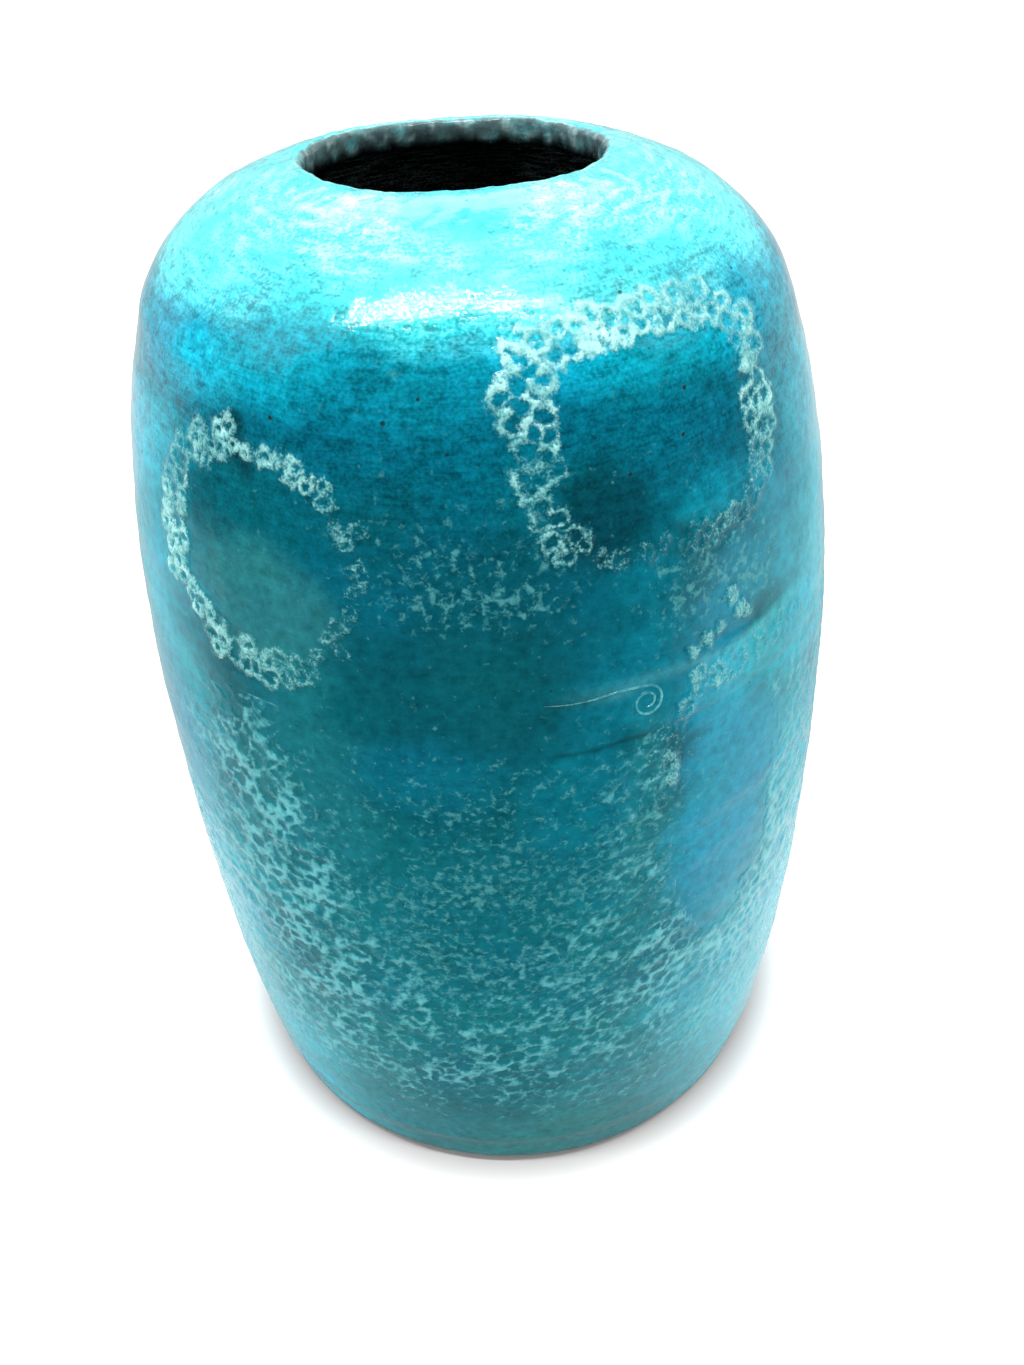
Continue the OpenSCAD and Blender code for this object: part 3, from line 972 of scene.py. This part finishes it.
class VASE_OT_liner(bpy.types.Operator):
    """Pour the liner over the lip and the inside, painted dark as shade inside the mouth"""

    bl_idname = "vase.liner"
    bl_label = "Liner"

    def execute(self, context):
        wall, glaze, _ = workshop()
        land = float(wall.inner()[1][-1])
        lip = wall.lip(0.0, 12)
        section = lip + [(wall.mouth, float(z)) for z in np.linspace(lip[-1][1], land, 6)[1:-1]]
        section += wall.hollow(wall.glaze, 80)[::-1]
        section += wall.hollow(0.0, 30)
        section += [(wall.mouth + wall.glaze, float(lip[-1][1]))]
        section += wall.lip(-wall.glaze, 6)[::-1][1:]
        material = liner_material(glaze)
        piece = finish_piece(turned(section, 300), "liner", material, "liner_glaze", "liner_glaze")
        points = where(piece.data)
        r = radius_of(points)
        # The lip's inner edge is ragged
        shown = (r < wall.mouth + 4 * MM) & (points[:, 2] > wall.high - 8 * MM)
        near = np.where(shown, smooth(wall.high - 8 * MM, wall.high - 2 * MM, points[:, 2]), 0)
        near = near * (1 - smooth(wall.mouth + 0.8 * MM, wall.mouth + 1.6 * MM, r))
        ragged = clouds(points, 2.2 * MM, 2, 21) * 0.10 * MM + clouds(points, 6 * MM, 2, 22) * 0.12 * MM
        across = points[:, :2] / np.maximum(r, 1 * MM)[:, None]
        points[:, :2] += across * (ragged * near)[:, None]
        # Turquoise over the lip, rough grey just inside it, and painted shade from there down, darker
        # with depth
        shade, frost, _ = tone(wall, bearing_of(points), np.full(len(points), wall.length), glaze)
        blot = clouds(points, 3.0 * MM, 3, 23)
        dark = 1 - smooth(wall.mouth + 0.3 * MM, wall.mouth + 1.3 * MM, r)
        dark = np.clip(dark + 0.25 * blot, 0, 1)
        flecks = smooth(0.0, 0.8, clouds(points, 2.0 * MM, 3, 24))
        lay_over(shade, np.array(glaze.lip_grey) + np.array((0.13, 0.18, 0.18)) * flecks[:, None], dark)
        # Painted shade, darker with depth below the lip
        deep = smooth(1.2 * MM, 4.5 * MM, wall.high - points[:, 2] + 0.8 * MM * blot)
        lay_over(shade, glaze.liner_shade, deep)
        seat(piece, points, wall)
        paint(piece.data, "tint", shade)
        paint(piece.data, "frost", frost * (1 - dark))
        paint(piece.data, "deep", deep)
        return {"FINISHED"}


def nearest_two(points, cells):
    """Distances to the two nearest cells and the indexes of both."""
    tree = kdtree.KDTree(len(cells))
    for index, (x, y) in enumerate(cells):
        tree.insert((x, y, 0), index)
    tree.balance()
    find = tree.find_n
    first = np.empty(len(points))
    second = np.empty(len(points))
    which = np.empty((len(points), 2), int)
    for row, (x, y) in enumerate(points.tolist()):
        near, far = find((x, y, 0), 2)
        first[row] = near[2]
        second[row] = far[2]
        which[row] = near[1], far[1]
    return first, second, which


def jittered(width, height, step, jitter, seed, wrap=False):
    """Uneven rows of cells over a rectangle round the middle."""
    rng = np.random.default_rng(seed)
    columns = int(round(width / step))
    rows = int(math.ceil(height / (0.87 * step))) + 2
    cells = []
    for row in range(rows):
        for column in range(columns):
            x = -width / 2 + (column + 0.5 * (row % 2)) * width / columns
            y = -height / 2 + (row - 0.5) * 0.87 * step
            dx, dy = rng.uniform(-jitter, jitter, 2) * step
            cells.append((x + dx, y + dy))
    if wrap:
        edge = width / 2 - 3 * step
        after = [(x + width, y) for x, y in cells if x < -edge]
        before = [(x - width, y) for x, y in cells if x > edge]
        cells += after + before
    return cells


# Smooth windows in the net, round below and open above: bearing, lowest height and half width in mm
WINDOWS = ((-7, 84, 26), (118, 66, 26), (-74, 86, 24))
# Smooth ovals inside the lower rings: bearing, height, half width and half height
OVALS = ((37, 104, 13, 32), (180, 100, 15, 32))
# Where the net is thicker or thinner, in the same terms, and by how much
THICKER = (
    (-34, 100, 9, 36, 0.7),
    (146, 100, 9, 36, 0.7),
    (38, 70, 20, 14, 0.8),
    (50, 88, 8, 12, 0.7),
    (-5, 84, 20, 24, -0.6),
)


def net_amount(wall, bearing, s):
    """How much of the net there is at each point, from 0 in the windows to 1."""
    base = wall.place(bearing, s)
    z = base[:, 2] / MM
    degrees = np.degrees(bearing)
    drift = clouds(base, 14 * MM, 3, 31)
    amount = smooth(12, 44, z + 4 * drift)
    amount *= 1 - smooth(118, 136, z + 6 * drift)
    amount *= 0.88 + 0.12 * np.cos(2 * (bearing + math.radians(218)))
    amount *= 0.45 + 0.55 * smooth(-0.7, 0.2, clouds(base, 9 * MM, 2, 32))
    for at, height, wide, tall, change in THICKER:
        reach = np.radians(fold(degrees, at)) * NET_R
        amount *= 1 + change * np.exp(-((reach / wide) ** 2) - ((z - height) / tall) ** 2)
    for at, low, wide in WINDOWS:
        reach = np.abs(np.radians(fold(degrees, at))) * NET_R
        middle = low + wide
        gap = np.where(z < middle, np.hypot(reach, z - middle), reach) - wide
        amount *= smooth(-13, 13, gap + 8 * drift)
    for at, height, wide, tall in OVALS:
        reach = np.radians(fold(degrees, at)) * NET_R
        gap = (np.sqrt((reach / wide) ** 2 + ((z - height) / tall) ** 2) - 1) * wide
        amount *= smooth(-2, 2.5, gap + 2.5 * drift)
    # A chain of net that climbs to the left ring
    off = fold(degrees, -36.5, 180) + 3 * drift
    chain = 0.8 * swell(off, 0, 4.5) * smooth(96, 110, z) * (1 - smooth(131, 137, z))
    return np.clip(np.maximum(amount, chain), 0, 1.2)


def strands(wall, points, cells, cell_middle):
    """Bearing and length of points on the unrolled net, how far inside a strand, and how much net."""
    bearing = bearing_of(points)
    s = points[:, 2]
    base = wall.place(bearing, s)
    bend_x = clouds(base, 3.0 * MM, 2, 41) * 1.1 * MM
    bend_y = clouds(base, 3.0 * MM, 2, 42) * 1.1 * MM
    flat = np.stack([bearing * (NET_R * MM) + bend_x, s - cell_middle + bend_y], axis=1)
    first, second, _ = nearest_two(flat, cells)
    amount = net_amount(wall, bearing, s)
    wide = (0.15 + 0.24 * amount + 0.30 * clouds(base, 4.5 * MM, 2, 43)) * MM
    inside = wide - (second - first) / 2
    inside -= 1.6 * MM * (1 - smooth(0.02, 0.30, amount))
    return bearing, s, inside, amount


class VASE_OT_net(bpy.types.Operator):
    """Lay the pale netted coat over the lower wall"""

    bl_idname = "vase.net"
    bl_label = "Netted coat"

    def execute(self, context):
        wall, glaze, foam = workshop()
        radius = NET_R * MM
        grid = 0.68 * MM
        low, high = [float(wall.length_at(z)) for z in (18 * MM, 133 * MM)]
        rows = int((high - low) / grid)
        girth = TURN * radius
        bm = bmesh.new()
        line = [(radius, float(z)) for z in np.linspace(low, high, rows)]
        throw(bm, line, 8 * int(girth / grid / 8), closed=False)
        cells = jittered(girth, high - low, foam.net_cell, 0.36, 7, wrap=True)
        middle = (low + high) / 2
        bm.verts.ensure_lookup_table()
        inside = strands(wall, np.array([v.co[:] for v in bm.verts]), cells, middle)[2]
        keep = inside > -NET_HALO
        gone = [f for f in bm.faces if not any(keep[v.index] for v in f.verts)]
        bmesh.ops.delete(bm, geom=gone, context="FACES")
        bmesh.ops.recalc_face_normals(bm, faces=bm.faces)
        outward = 0
        for face in bm.faces[:50]:
            outward += face.normal.xy.dot(face.calc_center_median().xy)
        if outward < 0:
            bmesh.ops.reverse_faces(bm, faces=bm.faces)
        material = net_material(glaze)
        for name, far in (("netted_coat_front", 1), ("netted_coat_back", -1)):
            half = bm.copy()
            gone = [f for f in half.faces if f.calc_center_median().y * far > 0]
            bmesh.ops.delete(half, geom=gone, context="FACES")
            bmesh.ops.solidify(half, geom=half.faces[:], thickness=SHEET)
            piece = finish_piece(half, name, material, "net_glaze", "net_glaze")
            self.lay(piece, wall, cells, middle, glaze, foam)
        bm.free()
        return {"FINISHED"}

    def lay(self, piece, wall, cells, middle, glaze, foam):
        """Seats one half of the coat on the wall and colours it, with flat faces at its seam."""
        mesh = piece.data
        facing, centre = np.empty((2, len(mesh.polygons) * 3), np.float32)
        mesh.polygons.foreach_get("normal", facing)
        mesh.polygons.foreach_get("center", centre)
        seam = (np.abs(facing[1::3]) > 0.9) & (np.abs(centre[1::3]) < 0.02 * MM)
        mesh.polygons.foreach_set("use_smooth", ~seam)
        points = where(mesh)
        bearing, s, inside, amount = strands(wall, points, cells, middle)
        back = np.abs(NET_R * MM - radius_of(points)) > SHEET / 2
        body = smooth(-0.35 * MM, 0.60 * MM, inside)
        rise = FACE_RISE + foam.net_height * body * (0.35 + 0.65 * amount)
        rise -= EDGE_DIP * (1 - smooth(-NET_HALO, -NET_HALO + 0.2 * MM, inside))
        lay_sheet(piece, wall, bearing, s, rise, back, glaze)
        strand = smooth(-NET_HALO, NET_HALO, inside) * (0.30 + 0.70 * amount)
        paint(mesh, "strand", np.clip(strand, 0, 1))


class VASE_OT_curl(bpy.types.Operator):
    """Trail the curl of pale glaze under the joint's ridge"""

    bl_idname = "vase.curl"
    bl_label = "Curl"

    def execute(self, context):
        wall, glaze, _ = workshop()
        bm = bmesh.new()
        bmesh.ops.create_grid(bm, x_segments=220, y_segments=6, size=1.0)
        bmesh.ops.solidify(bm, geom=bm.faces[:], thickness=SHEET)
        material = bpy.data.materials.get("netted glaze") or net_material(glaze)
        piece = finish_piece(bm, "glaze_curl", material, "net_glaze", "net_glaze")
        points = where(piece.data)
        along = (points[:, 0] + 1) / 2
        across = points[:, 1]
        # The path in mm: a spiral of one and a half turns, and its tail to the left
        turns = np.radians(np.linspace(90 - 560, 90, 161))
        reach = np.linspace(0.9, 2.9, 161)
        tail = np.linspace(0, 1, 81)[1:]
        path_u = np.concatenate([reach * np.cos(turns), -16.5 * tail])
        path_v = np.concatenate([reach * np.sin(turns), 2.9 + 0.5 * tail + 0.25 * np.sin(7 * tail)])
        step = np.hypot(np.diff(path_u), np.diff(path_v))
        way = np.concatenate([[0], np.cumsum(step)]) / step.sum()
        u, v = np.interp(along, way, path_u), np.interp(along, way, path_v)
        lean_u = np.interp(along, way, np.gradient(path_u, way))
        lean_v = np.interp(along, way, np.gradient(path_v, way))
        size = np.hypot(lean_u, lean_v)
        wide = 0.30 * smooth(0, 0.04, along) * (1 - 0.75 * smooth(0.5, 1.0, along)) + 0.03
        u = u - across * wide * lean_v / size
        v = v + across * wide * lean_u / size
        bearing, s = press(wall, math.radians(22), 134 * MM, u * MM, v * MM)
        rise = (0.14 * (1 - across**2) - 0.01) * MM
        back = np.abs(points[:, 2]) > SHEET / 2
        lay_sheet(piece, wall, bearing, s, rise, back, glaze)
        paint(piece.data, "strand", (1 - across**2) * (0.60 - 0.25 * smooth(0.5, 1.0, along)))
        return {"FINISHED"}


class Ring:
    """One foam ring round its clear middle, which is a rounded box wide by tall. Sizes in mm."""

    def __init__(self, name, node, bearing, height, wide, tall, corner, seed, rim, beads=()):
        self.name = name
        self.node = node
        self.bearing = bearing
        self.height = height
        self.half = np.array([wide / 2, tall / 2])
        self.corner = corner
        self.seed = seed
        self.angles, self.widths, self.solids, self.hollows = np.array(rim, float).T
        rng = np.random.default_rng(seed)
        cells = np.array(jittered(wide + 26, tall + 26, 2.75, 0.33, seed))
        width, solid, hollow = self.rim_at(cells)
        out = self.outside(cells) + rng.normal(0, 0.35, len(cells))
        kept = (out > 0.8) & (out < width - 1.0)
        self.cells = cells[kept]
        count = len(self.cells)
        # Each cell is a disc of foam with a hole, and a few have none
        self.holes = hollow[kept] * rng.uniform(0.7, 1.25, count)
        self.holes[rng.random(count) < 0.03 + 0.10 * smooth(0.85, 1.0, solid[kept])] = 0.0
        self.discs = hollow[kept] + 0.58 + 0.36 * solid[kept] + rng.uniform(-0.2, 0.2, count)
        # How far the sheet that the ring is cut from spreads, and the beads that lie further out
        self.span = 22.0 if beads else 9.8
        self.fixed = count
        if beads:
            self.cells = np.vstack([self.cells, np.array(beads)[:, :2]])
            self.holes = np.concatenate([self.holes, np.zeros(len(beads))])
            self.discs = np.concatenate([self.discs, np.array(beads)[:, 2]])

    def rim_at(self, points):
        """The foam's width, how solid it is and its holes' size, in the direction of each point."""
        flat = points / self.half
        degrees = np.degrees(np.arctan2(flat[:, 1], flat[:, 0]))
        rims = (self.widths, self.solids, self.hollows)
        return [np.interp(degrees, self.angles, rim, period=360) for rim in rims]

    def outside(self, points):
        """Distance from the edge of the clear middle, positive in the foam."""
        over = np.abs(points) - (self.half - self.corner)
        return np.hypot(*np.maximum(over, 0).T) + np.minimum(over.max(axis=1), 0) - self.corner

    def foam(self, u, v):
        """How far each point is inside foam, in mm, and how solid the foam is there."""
        flat = np.stack([u, v], axis=1) / MM
        deep = np.column_stack([flat, np.full(len(flat), self.seed * 3.1)])
        sway = np.stack([clouds(deep, 2.2, 2, self.seed), clouds(deep, 2.2, 2, self.seed + 100)], axis=1)
        _, solid, _ = self.rim_at(flat)
        out = self.outside(flat + 0.35 * np.roll(sway, 1, axis=1))
        first, _, which = nearest_two(flat + 0.65 * sway, self.cells)
        which = which[:, 0]
        rings = np.where(self.holes[which] > 0, first - self.holes[which], 9.0)
        field = np.minimum(self.discs[which] - first, rings)
        field = np.minimum(np.minimum(field, 0.9), out + 0.15)
        lumps = clouds(deep, 4.5, 2, self.seed + 400)
        weak = np.clip(0.58 - solid + 0.5 * lumps, 0, 1.2)
        field = field - 0.9 * weak + 0.16 * clouds(deep, 0.9, 2, self.seed + 500)
        bead = which >= self.fixed
        field = np.where(bead, np.minimum(self.discs[which] - first, 0.9), field)
        return field, np.where(bead, 0.6, np.clip(solid + 0.2 * lumps, 0, 1))


# The foam round each ring's middle: angle from the right, width, how solid, and its holes' size
RIGHT_RIM = (
    (0, 8.5, 0.78, 1.1),
    (45, 6.0, 0.74, 0.85),
    (90, 6.5, 0.82, 0.95),
    (118, 6.5, 0.86, 1.0),
    (145, 7.2, 0.84, 1.25),
    (180, 6.8, 0.62, 1.15),
    (212, 6.0, 0.58, 0.9),
    (238, 4.5, 0.50, 0.6),
    (270, 5.5, 0.36, 0.6),
    (298, 6.0, 0.55, 0.9),
    (328, 7.0, 0.56, 1.0),
)
LEFT_RIM = (
    (0, 4.5, 0.46, 0.6),
    (28, 6.0, 0.60, 0.6),
    (60, 5.5, 0.66, 0.5),
    (90, 5.5, 0.70, 0.5),
    (120, 6.0, 0.66, 0.8),
    (145, 7.0, 0.62, 1.1),
    (180, 7.5, 0.84, 1.0),
    (212, 6.5, 0.80, 0.8),
    (240, 7.0, 0.74, 0.9),
    (270, 7.5, 0.66, 1.0),
    (300, 6.0, 0.56, 0.8),
    (330, 4.5, 0.48, 0.6),
)
LOWER_RIM = (
    (0, 4.0, 0.30, 0.6),
    (60, 4.5, 0.34, 0.7),
    (95, 6.5, 0.50, 0.7),
    (120, 6.0, 0.56, 0.7),
    (140, 5.0, 0.50, 0.6),
    (165, 3.2, 0.42, 0.5),
    (200, 2.8, 0.34, 0.5),
    (235, 3.5, 0.30, 0.6),
    (290, 4.0, 0.30, 0.6),
)
# Loose beads of foam: place from the ring's middle, and radius
BEADS = (
    (-16.0, 39.5, 1.2),
    (-13.2, 40.6, 1.2),
    (-10.6, 41.4, 1.0),
    (-7.5, 45.6, 1.3),
    (-6.0, 42.8, 1.4),
    (-4.4, 41.4, 1.0),
    (-16.2, 35.2, 1.3),
    (-16.4, 32.6, 1.0),
    (-21.4, 22.0, 1.2),
    (-21.2, 19.4, 1.3),
    (-21.4, 16.8, 1.1),
)
# Name, node, bearing, height, width, height of the clear middle, its corner, seed, rim and beads
RINGS = (
    ("foam_right", "ring_right", 28.9, 173, 31.5, 25, 7, 51, RIGHT_RIM),
    ("foam_left", "ring_left", -34.9, 157.2, 29.5, 27, 12, 52, LEFT_RIM),
    ("foam_lower", "ring_lower", 45, 100, 43, 62, 12, 53, LOWER_RIM, BEADS),
    ("foam_back_right", "ring_back_right", 124, 157.4, 31.5, 27, 8, 54, LEFT_RIM),
    ("foam_back_left", "ring_back_left", -151, 174, 34, 25, 8, 55, RIGHT_RIM),
    ("foam_back_lower", "ring_back_lower", 182, 98, 43, 62, 12, 56, LOWER_RIM, BEADS),
)


class VASE_OT_foam(bpy.types.Operator):
    """Raise the six foam rings on the glaze"""

    bl_idname = "vase.foam"
    bl_label = "Foam rings"

    def execute(self, context):
        wall, glaze, foam = workshop()
        material = foam_material(glaze)
        for facts in RINGS:
            self.raise_ring(Ring(*facts), wall, glaze, foam, material)
        return {"FINISHED"}

    def raise_ring(self, ring, wall, glaze, foam, material):
        """Cuts the ring out of a fine sheet, gives it thickness and lays it on the wall."""
        grid = (0.25 if ring.half[1] < 20 else 0.34) * MM
        half_w, half_h = (ring.half + ring.span) * MM
        columns, rows = int(2 * half_w / grid), int(2 * half_h / grid)
        bm = bmesh.new()
        bmesh.ops.create_grid(bm, x_segments=columns, y_segments=rows, size=1.0)
        reach = max(v.co.x for v in bm.verts)
        bmesh.ops.scale(bm, vec=(half_w / reach, half_h / reach, 1), verts=bm.verts)
        points = np.array([v.co[:] for v in bm.verts])
        out = ring.outside(points[:, :2] / MM)
        close = (out > -1.6) & (out < ring.span)
        field = np.full(len(points), -9.0)
        field[close] = ring.foam(points[close, 0], points[close, 1])[0]
        bm.verts.ensure_lookup_table()
        keep = field > -FOAM_HALO
        gone = [f for f in bm.faces if not any(keep[v.index] for v in f.verts)]
        bmesh.ops.delete(bm, geom=gone, context="FACES")
        for face in bm.faces:
            if face.normal.z < 0:
                face.normal_flip()
        bmesh.ops.solidify(bm, geom=bm.faces[:], thickness=SHEET)
        piece = finish_piece(bm, ring.name, material, "foam_glaze", ring.node)
        u, v, depth = where(piece.data).T
        field, thick = ring.foam(u, v)
        bearing, s = press(wall, math.radians(ring.bearing), ring.height * MM, u, v)
        body = smooth(-0.45, 0.60, field)
        height = foam.foam_height * (0.35 + 0.65 * thick)
        rise = FACE_RISE + (height - 0.1 * MM) * body
        rise -= EDGE_DIP * (1 - smooth(-FOAM_HALO, -0.75, field))
        back = np.abs(depth) > SHEET / 2
        lay_sheet(piece, wall, bearing, s, rise, back, glaze, 0.40 * MM)
        paint(piece.data, "foam", thick)
        rim = smooth(-FOAM_HALO, 0.55, field) * (0.35 + 0.65 * smooth(0.3, 0.9, thick))
        paint(piece.data, "rim", rim)


# Stage


# Name, place, the point that it faces, size and radiance of each lamp
LAMPS = (
    ("top_lamp", (0.0, 0.06, 0.78), (0, 0, 0.1), (0.6, 0.4), 1.3),
    ("back_lamp", (0.0, 0.45, 0.62), (0, 0, 0.2), (0.5, 0.25), 3.0),
    ("strip_lamp", (-0.03, -0.222, 0.795), (0, -0.04, 0.19), (0.70, 0.014), 140.0),
)
FLOOR_REACH = 2.0


class VASE_OT_stage(bpy.types.Operator):
    """Set the floor, the lamps, the sky and the camera"""

    bl_idname = "vase.stage"
    bl_label = "Stage"

    def execute(self, context):
        scene = context.scene
        scene.view_settings.view_transform = "Standard"
        self.floor(scene)
        self.sky(scene)
        for facts in LAMPS:
            self.lamp(scene, *facts)
        self.camera(scene)
        return {"FINISHED"}

    def floor(self, scene):
        """A plain pale floor that keeps the pot's shadow."""
        bm = bmesh.new()
        bmesh.ops.create_grid(bm, x_segments=8, y_segments=8, size=1.0)
        reach = FLOOR_REACH / max(v.co.x for v in bm.verts)
        bmesh.ops.scale(bm, vec=(reach, reach, 1), verts=bm.verts)
        mesh = bpy.data.meshes.new("floor")
        bm.to_mesh(mesh)
        bm.free()
        floor = bpy.data.objects.new("floor", mesh)
        scene.collection.objects.link(floor)
        material, graph, shader = new_material("pale floor")
        mesh.materials.append(material)
        path = graph.add("ShaderNodeLightPath").outputs
        place = graph.place()
        parts = graph.add("ShaderNodeSeparateXYZ", Vector=place).outputs
        # What the glaze mirrors: a pale sheet behind and beside the pot, and painted shade on the floor
        # in front of it, which only reflections see
        off = graph.length_of(graph.shift(place, (1, 0.8, 1), (-0.1, -0.2, 0)))
        sheet = graph.ramp(off, 0.42, 0.75, 1.0, 0.03)
        sheet = graph.maths("MAXIMUM", sheet, graph.ramp(parts["Y"], 0.05, 0.3, 0.0, 1.4))
        ahead = graph.line(graph.maths("ABSOLUTE", parts["X"]), 0.3, parts["Y"])
        ahead = graph.line(parts["X"], 0.25, ahead)
        sheet = graph.times(sheet, graph.ramp(ahead, -0.11, 0.05, 0.03, 1.0))
        away = graph.length_of(place)
        mirrored = graph.times(sheet, graph.ramp(away, 0.08, 0.16, 0.8, 0.36))
        plain = graph.line(path["Is Camera Ray"], -0.26, 0.86)
        plain = graph.times(graph.less(1.0, path["Is Glossy Ray"]), plain)
        level = graph.line(path["Is Glossy Ray"], mirrored, plain)
        graph.feed(shader.inputs["Base Color"], graph.grey(level))
        shader.inputs["Roughness"].default_value = 0.7
        shader.inputs["Specular IOR Level"].default_value = 0.1
        shader.inputs["Emission Color"].default_value = (1, 1, 1, 1)
        # White to the eye, away from the pot's shadow
        lit = graph.times(path["Is Camera Ray"], graph.ramp(away, 0.058, 0.073, 0.0, 0.7))
        graph.feed(shader.inputs["Emission Strength"], lit)

    def sky(self, scene):
        """White to the eye, even for soft light, and dark in front for reflections."""
        world = bpy.data.worlds.new("studio")
        scene.world = world
        world.use_nodes = True
        graph = Graph(world.node_tree)
        graph.tree.nodes.clear()
        path = graph.add("ShaderNodeLightPath").outputs
        way = graph.add("ShaderNodeTexCoord").outputs["Generated"]
        parts = graph.add("ShaderNodeSeparateXYZ", Vector=way).outputs
        bright = graph.ramp(graph.times(parts["Y"], -1.0), 0.22, 0.42, 1.0, 0.012)
        bright = graph.times(bright, graph.ramp(parts["Z"], 0.2, 0.5, 0.02, 1.0))
        bright = graph.maths("MAXIMUM", bright, graph.ramp(parts["Y"], 0.3, 0.55, 0.0, 0.65))
        glossy = graph.times(path["Is Glossy Ray"], bright)
        plain = graph.less(1.0, path["Is Glossy Ray"])
        sides = graph.line(graph.times(parts["X"], parts["X"]), 2.4, 0.38)
        soft = graph.line(plain, sides, glossy)
        level = graph.maths("MAXIMUM", soft, path["Is Camera Ray"])
        shine = graph.add("ShaderNodeBackground", Color=(1, 1, 1, 1), Strength=level)
        graph.add("ShaderNodeOutputWorld", Surface=shine.outputs[0])

    def lamp(self, scene, name, at, target, size, radiance):
        """A soft rectangular lamp, turned towards a point."""
        light = bpy.data.lights.new(name, "AREA")
        light.shape = "RECTANGLE"
        light.size, light.size_y = size
        light.energy = radiance * math.pi * size[0] * size[1]
        lamp = bpy.data.objects.new(name, light)
        lamp.location = at
        lamp.visible_camera = False
        lamp.rotation_euler = (Vector(target) - Vector(at)).to_track_quat("-Z", "Y").to_euler()
        scene.collection.objects.link(lamp)

    def camera(self, scene):
        """Stands where the photograph was taken: close by, high and a little rolled."""
        spot = (0, -0.2106035, 0.2683952)
        pitch, roll, yaw = 0.7051, -0.0486, 0.0144
        level = Vector((math.sin(yaw), math.cos(yaw), 0))
        side = Vector((math.cos(yaw), -math.sin(yaw), 0))
        ahead = level * math.cos(pitch) - Vector((0, 0, math.sin(pitch)))
        above = level * math.sin(pitch) + Vector((0, 0, math.cos(pitch)))
        right = side * math.cos(roll) + above * math.sin(roll)
        up = above * math.cos(roll) - side * math.sin(roll)
        data = bpy.data.cameras.new("camera")
        data.sensor_width = 36
        data.lens = 34.286
        data.clip_start = 0.01
        camera = bpy.data.objects.new("camera", data)
        turn = Matrix((right, up, -ahead)).transposed().to_4x4()
        camera.matrix_world = Matrix.Translation(spot) @ turn
        scene.collection.objects.link(camera)
        scene.camera = camera


class VASE_PT_panel(bpy.types.Panel):
    """Lists the vase's pieces and settings in the sidebar"""

    bl_idname = "VASE_PT_panel"
    bl_label = "Thrown Vase"
    bl_space_type = "VIEW_3D"
    bl_region_type = "UI"
    bl_category = "Vase"

    def draw(self, context):
        layout = self.layout
        for name, group in SETTINGS:
            for value in group.__annotations__:
                layout.prop(getattr(context.scene, name), value)
        for operator in OPERATORS:
            layout.operator(operator.bl_idname)


SETTINGS = (("vase_shape", VaseShape), ("vase_glaze", VaseGlaze), ("vase_foam", VaseFoam))
OPERATORS = (
    VASE_OT_clay,
    VASE_OT_turquoise,
    VASE_OT_liner,
    VASE_OT_net,
    VASE_OT_curl,
    VASE_OT_foam,
    VASE_OT_stage,
)
CLASSES = (*(group for _, group in SETTINGS), *OPERATORS, VASE_PT_panel)


def register():
    for item in CLASSES:
        bpy.utils.register_class(item)
    for name, group in SETTINGS:
        setattr(bpy.types.Scene, name, bpy.props.PointerProperty(type=group))


def unregister():
    for name, _ in SETTINGS:
        delattr(bpy.types.Scene, name)
    for item in reversed(CLASSES):
        bpy.utils.unregister_class(item)


def main():
    register()
    bpy.ops.vase.clay()
    bpy.ops.vase.turquoise()
    bpy.ops.vase.liner()
    bpy.ops.vase.net()
    bpy.ops.vase.curl()
    bpy.ops.vase.foam()
    bpy.ops.vase.stage()


if __name__ == "__main__":
    main()
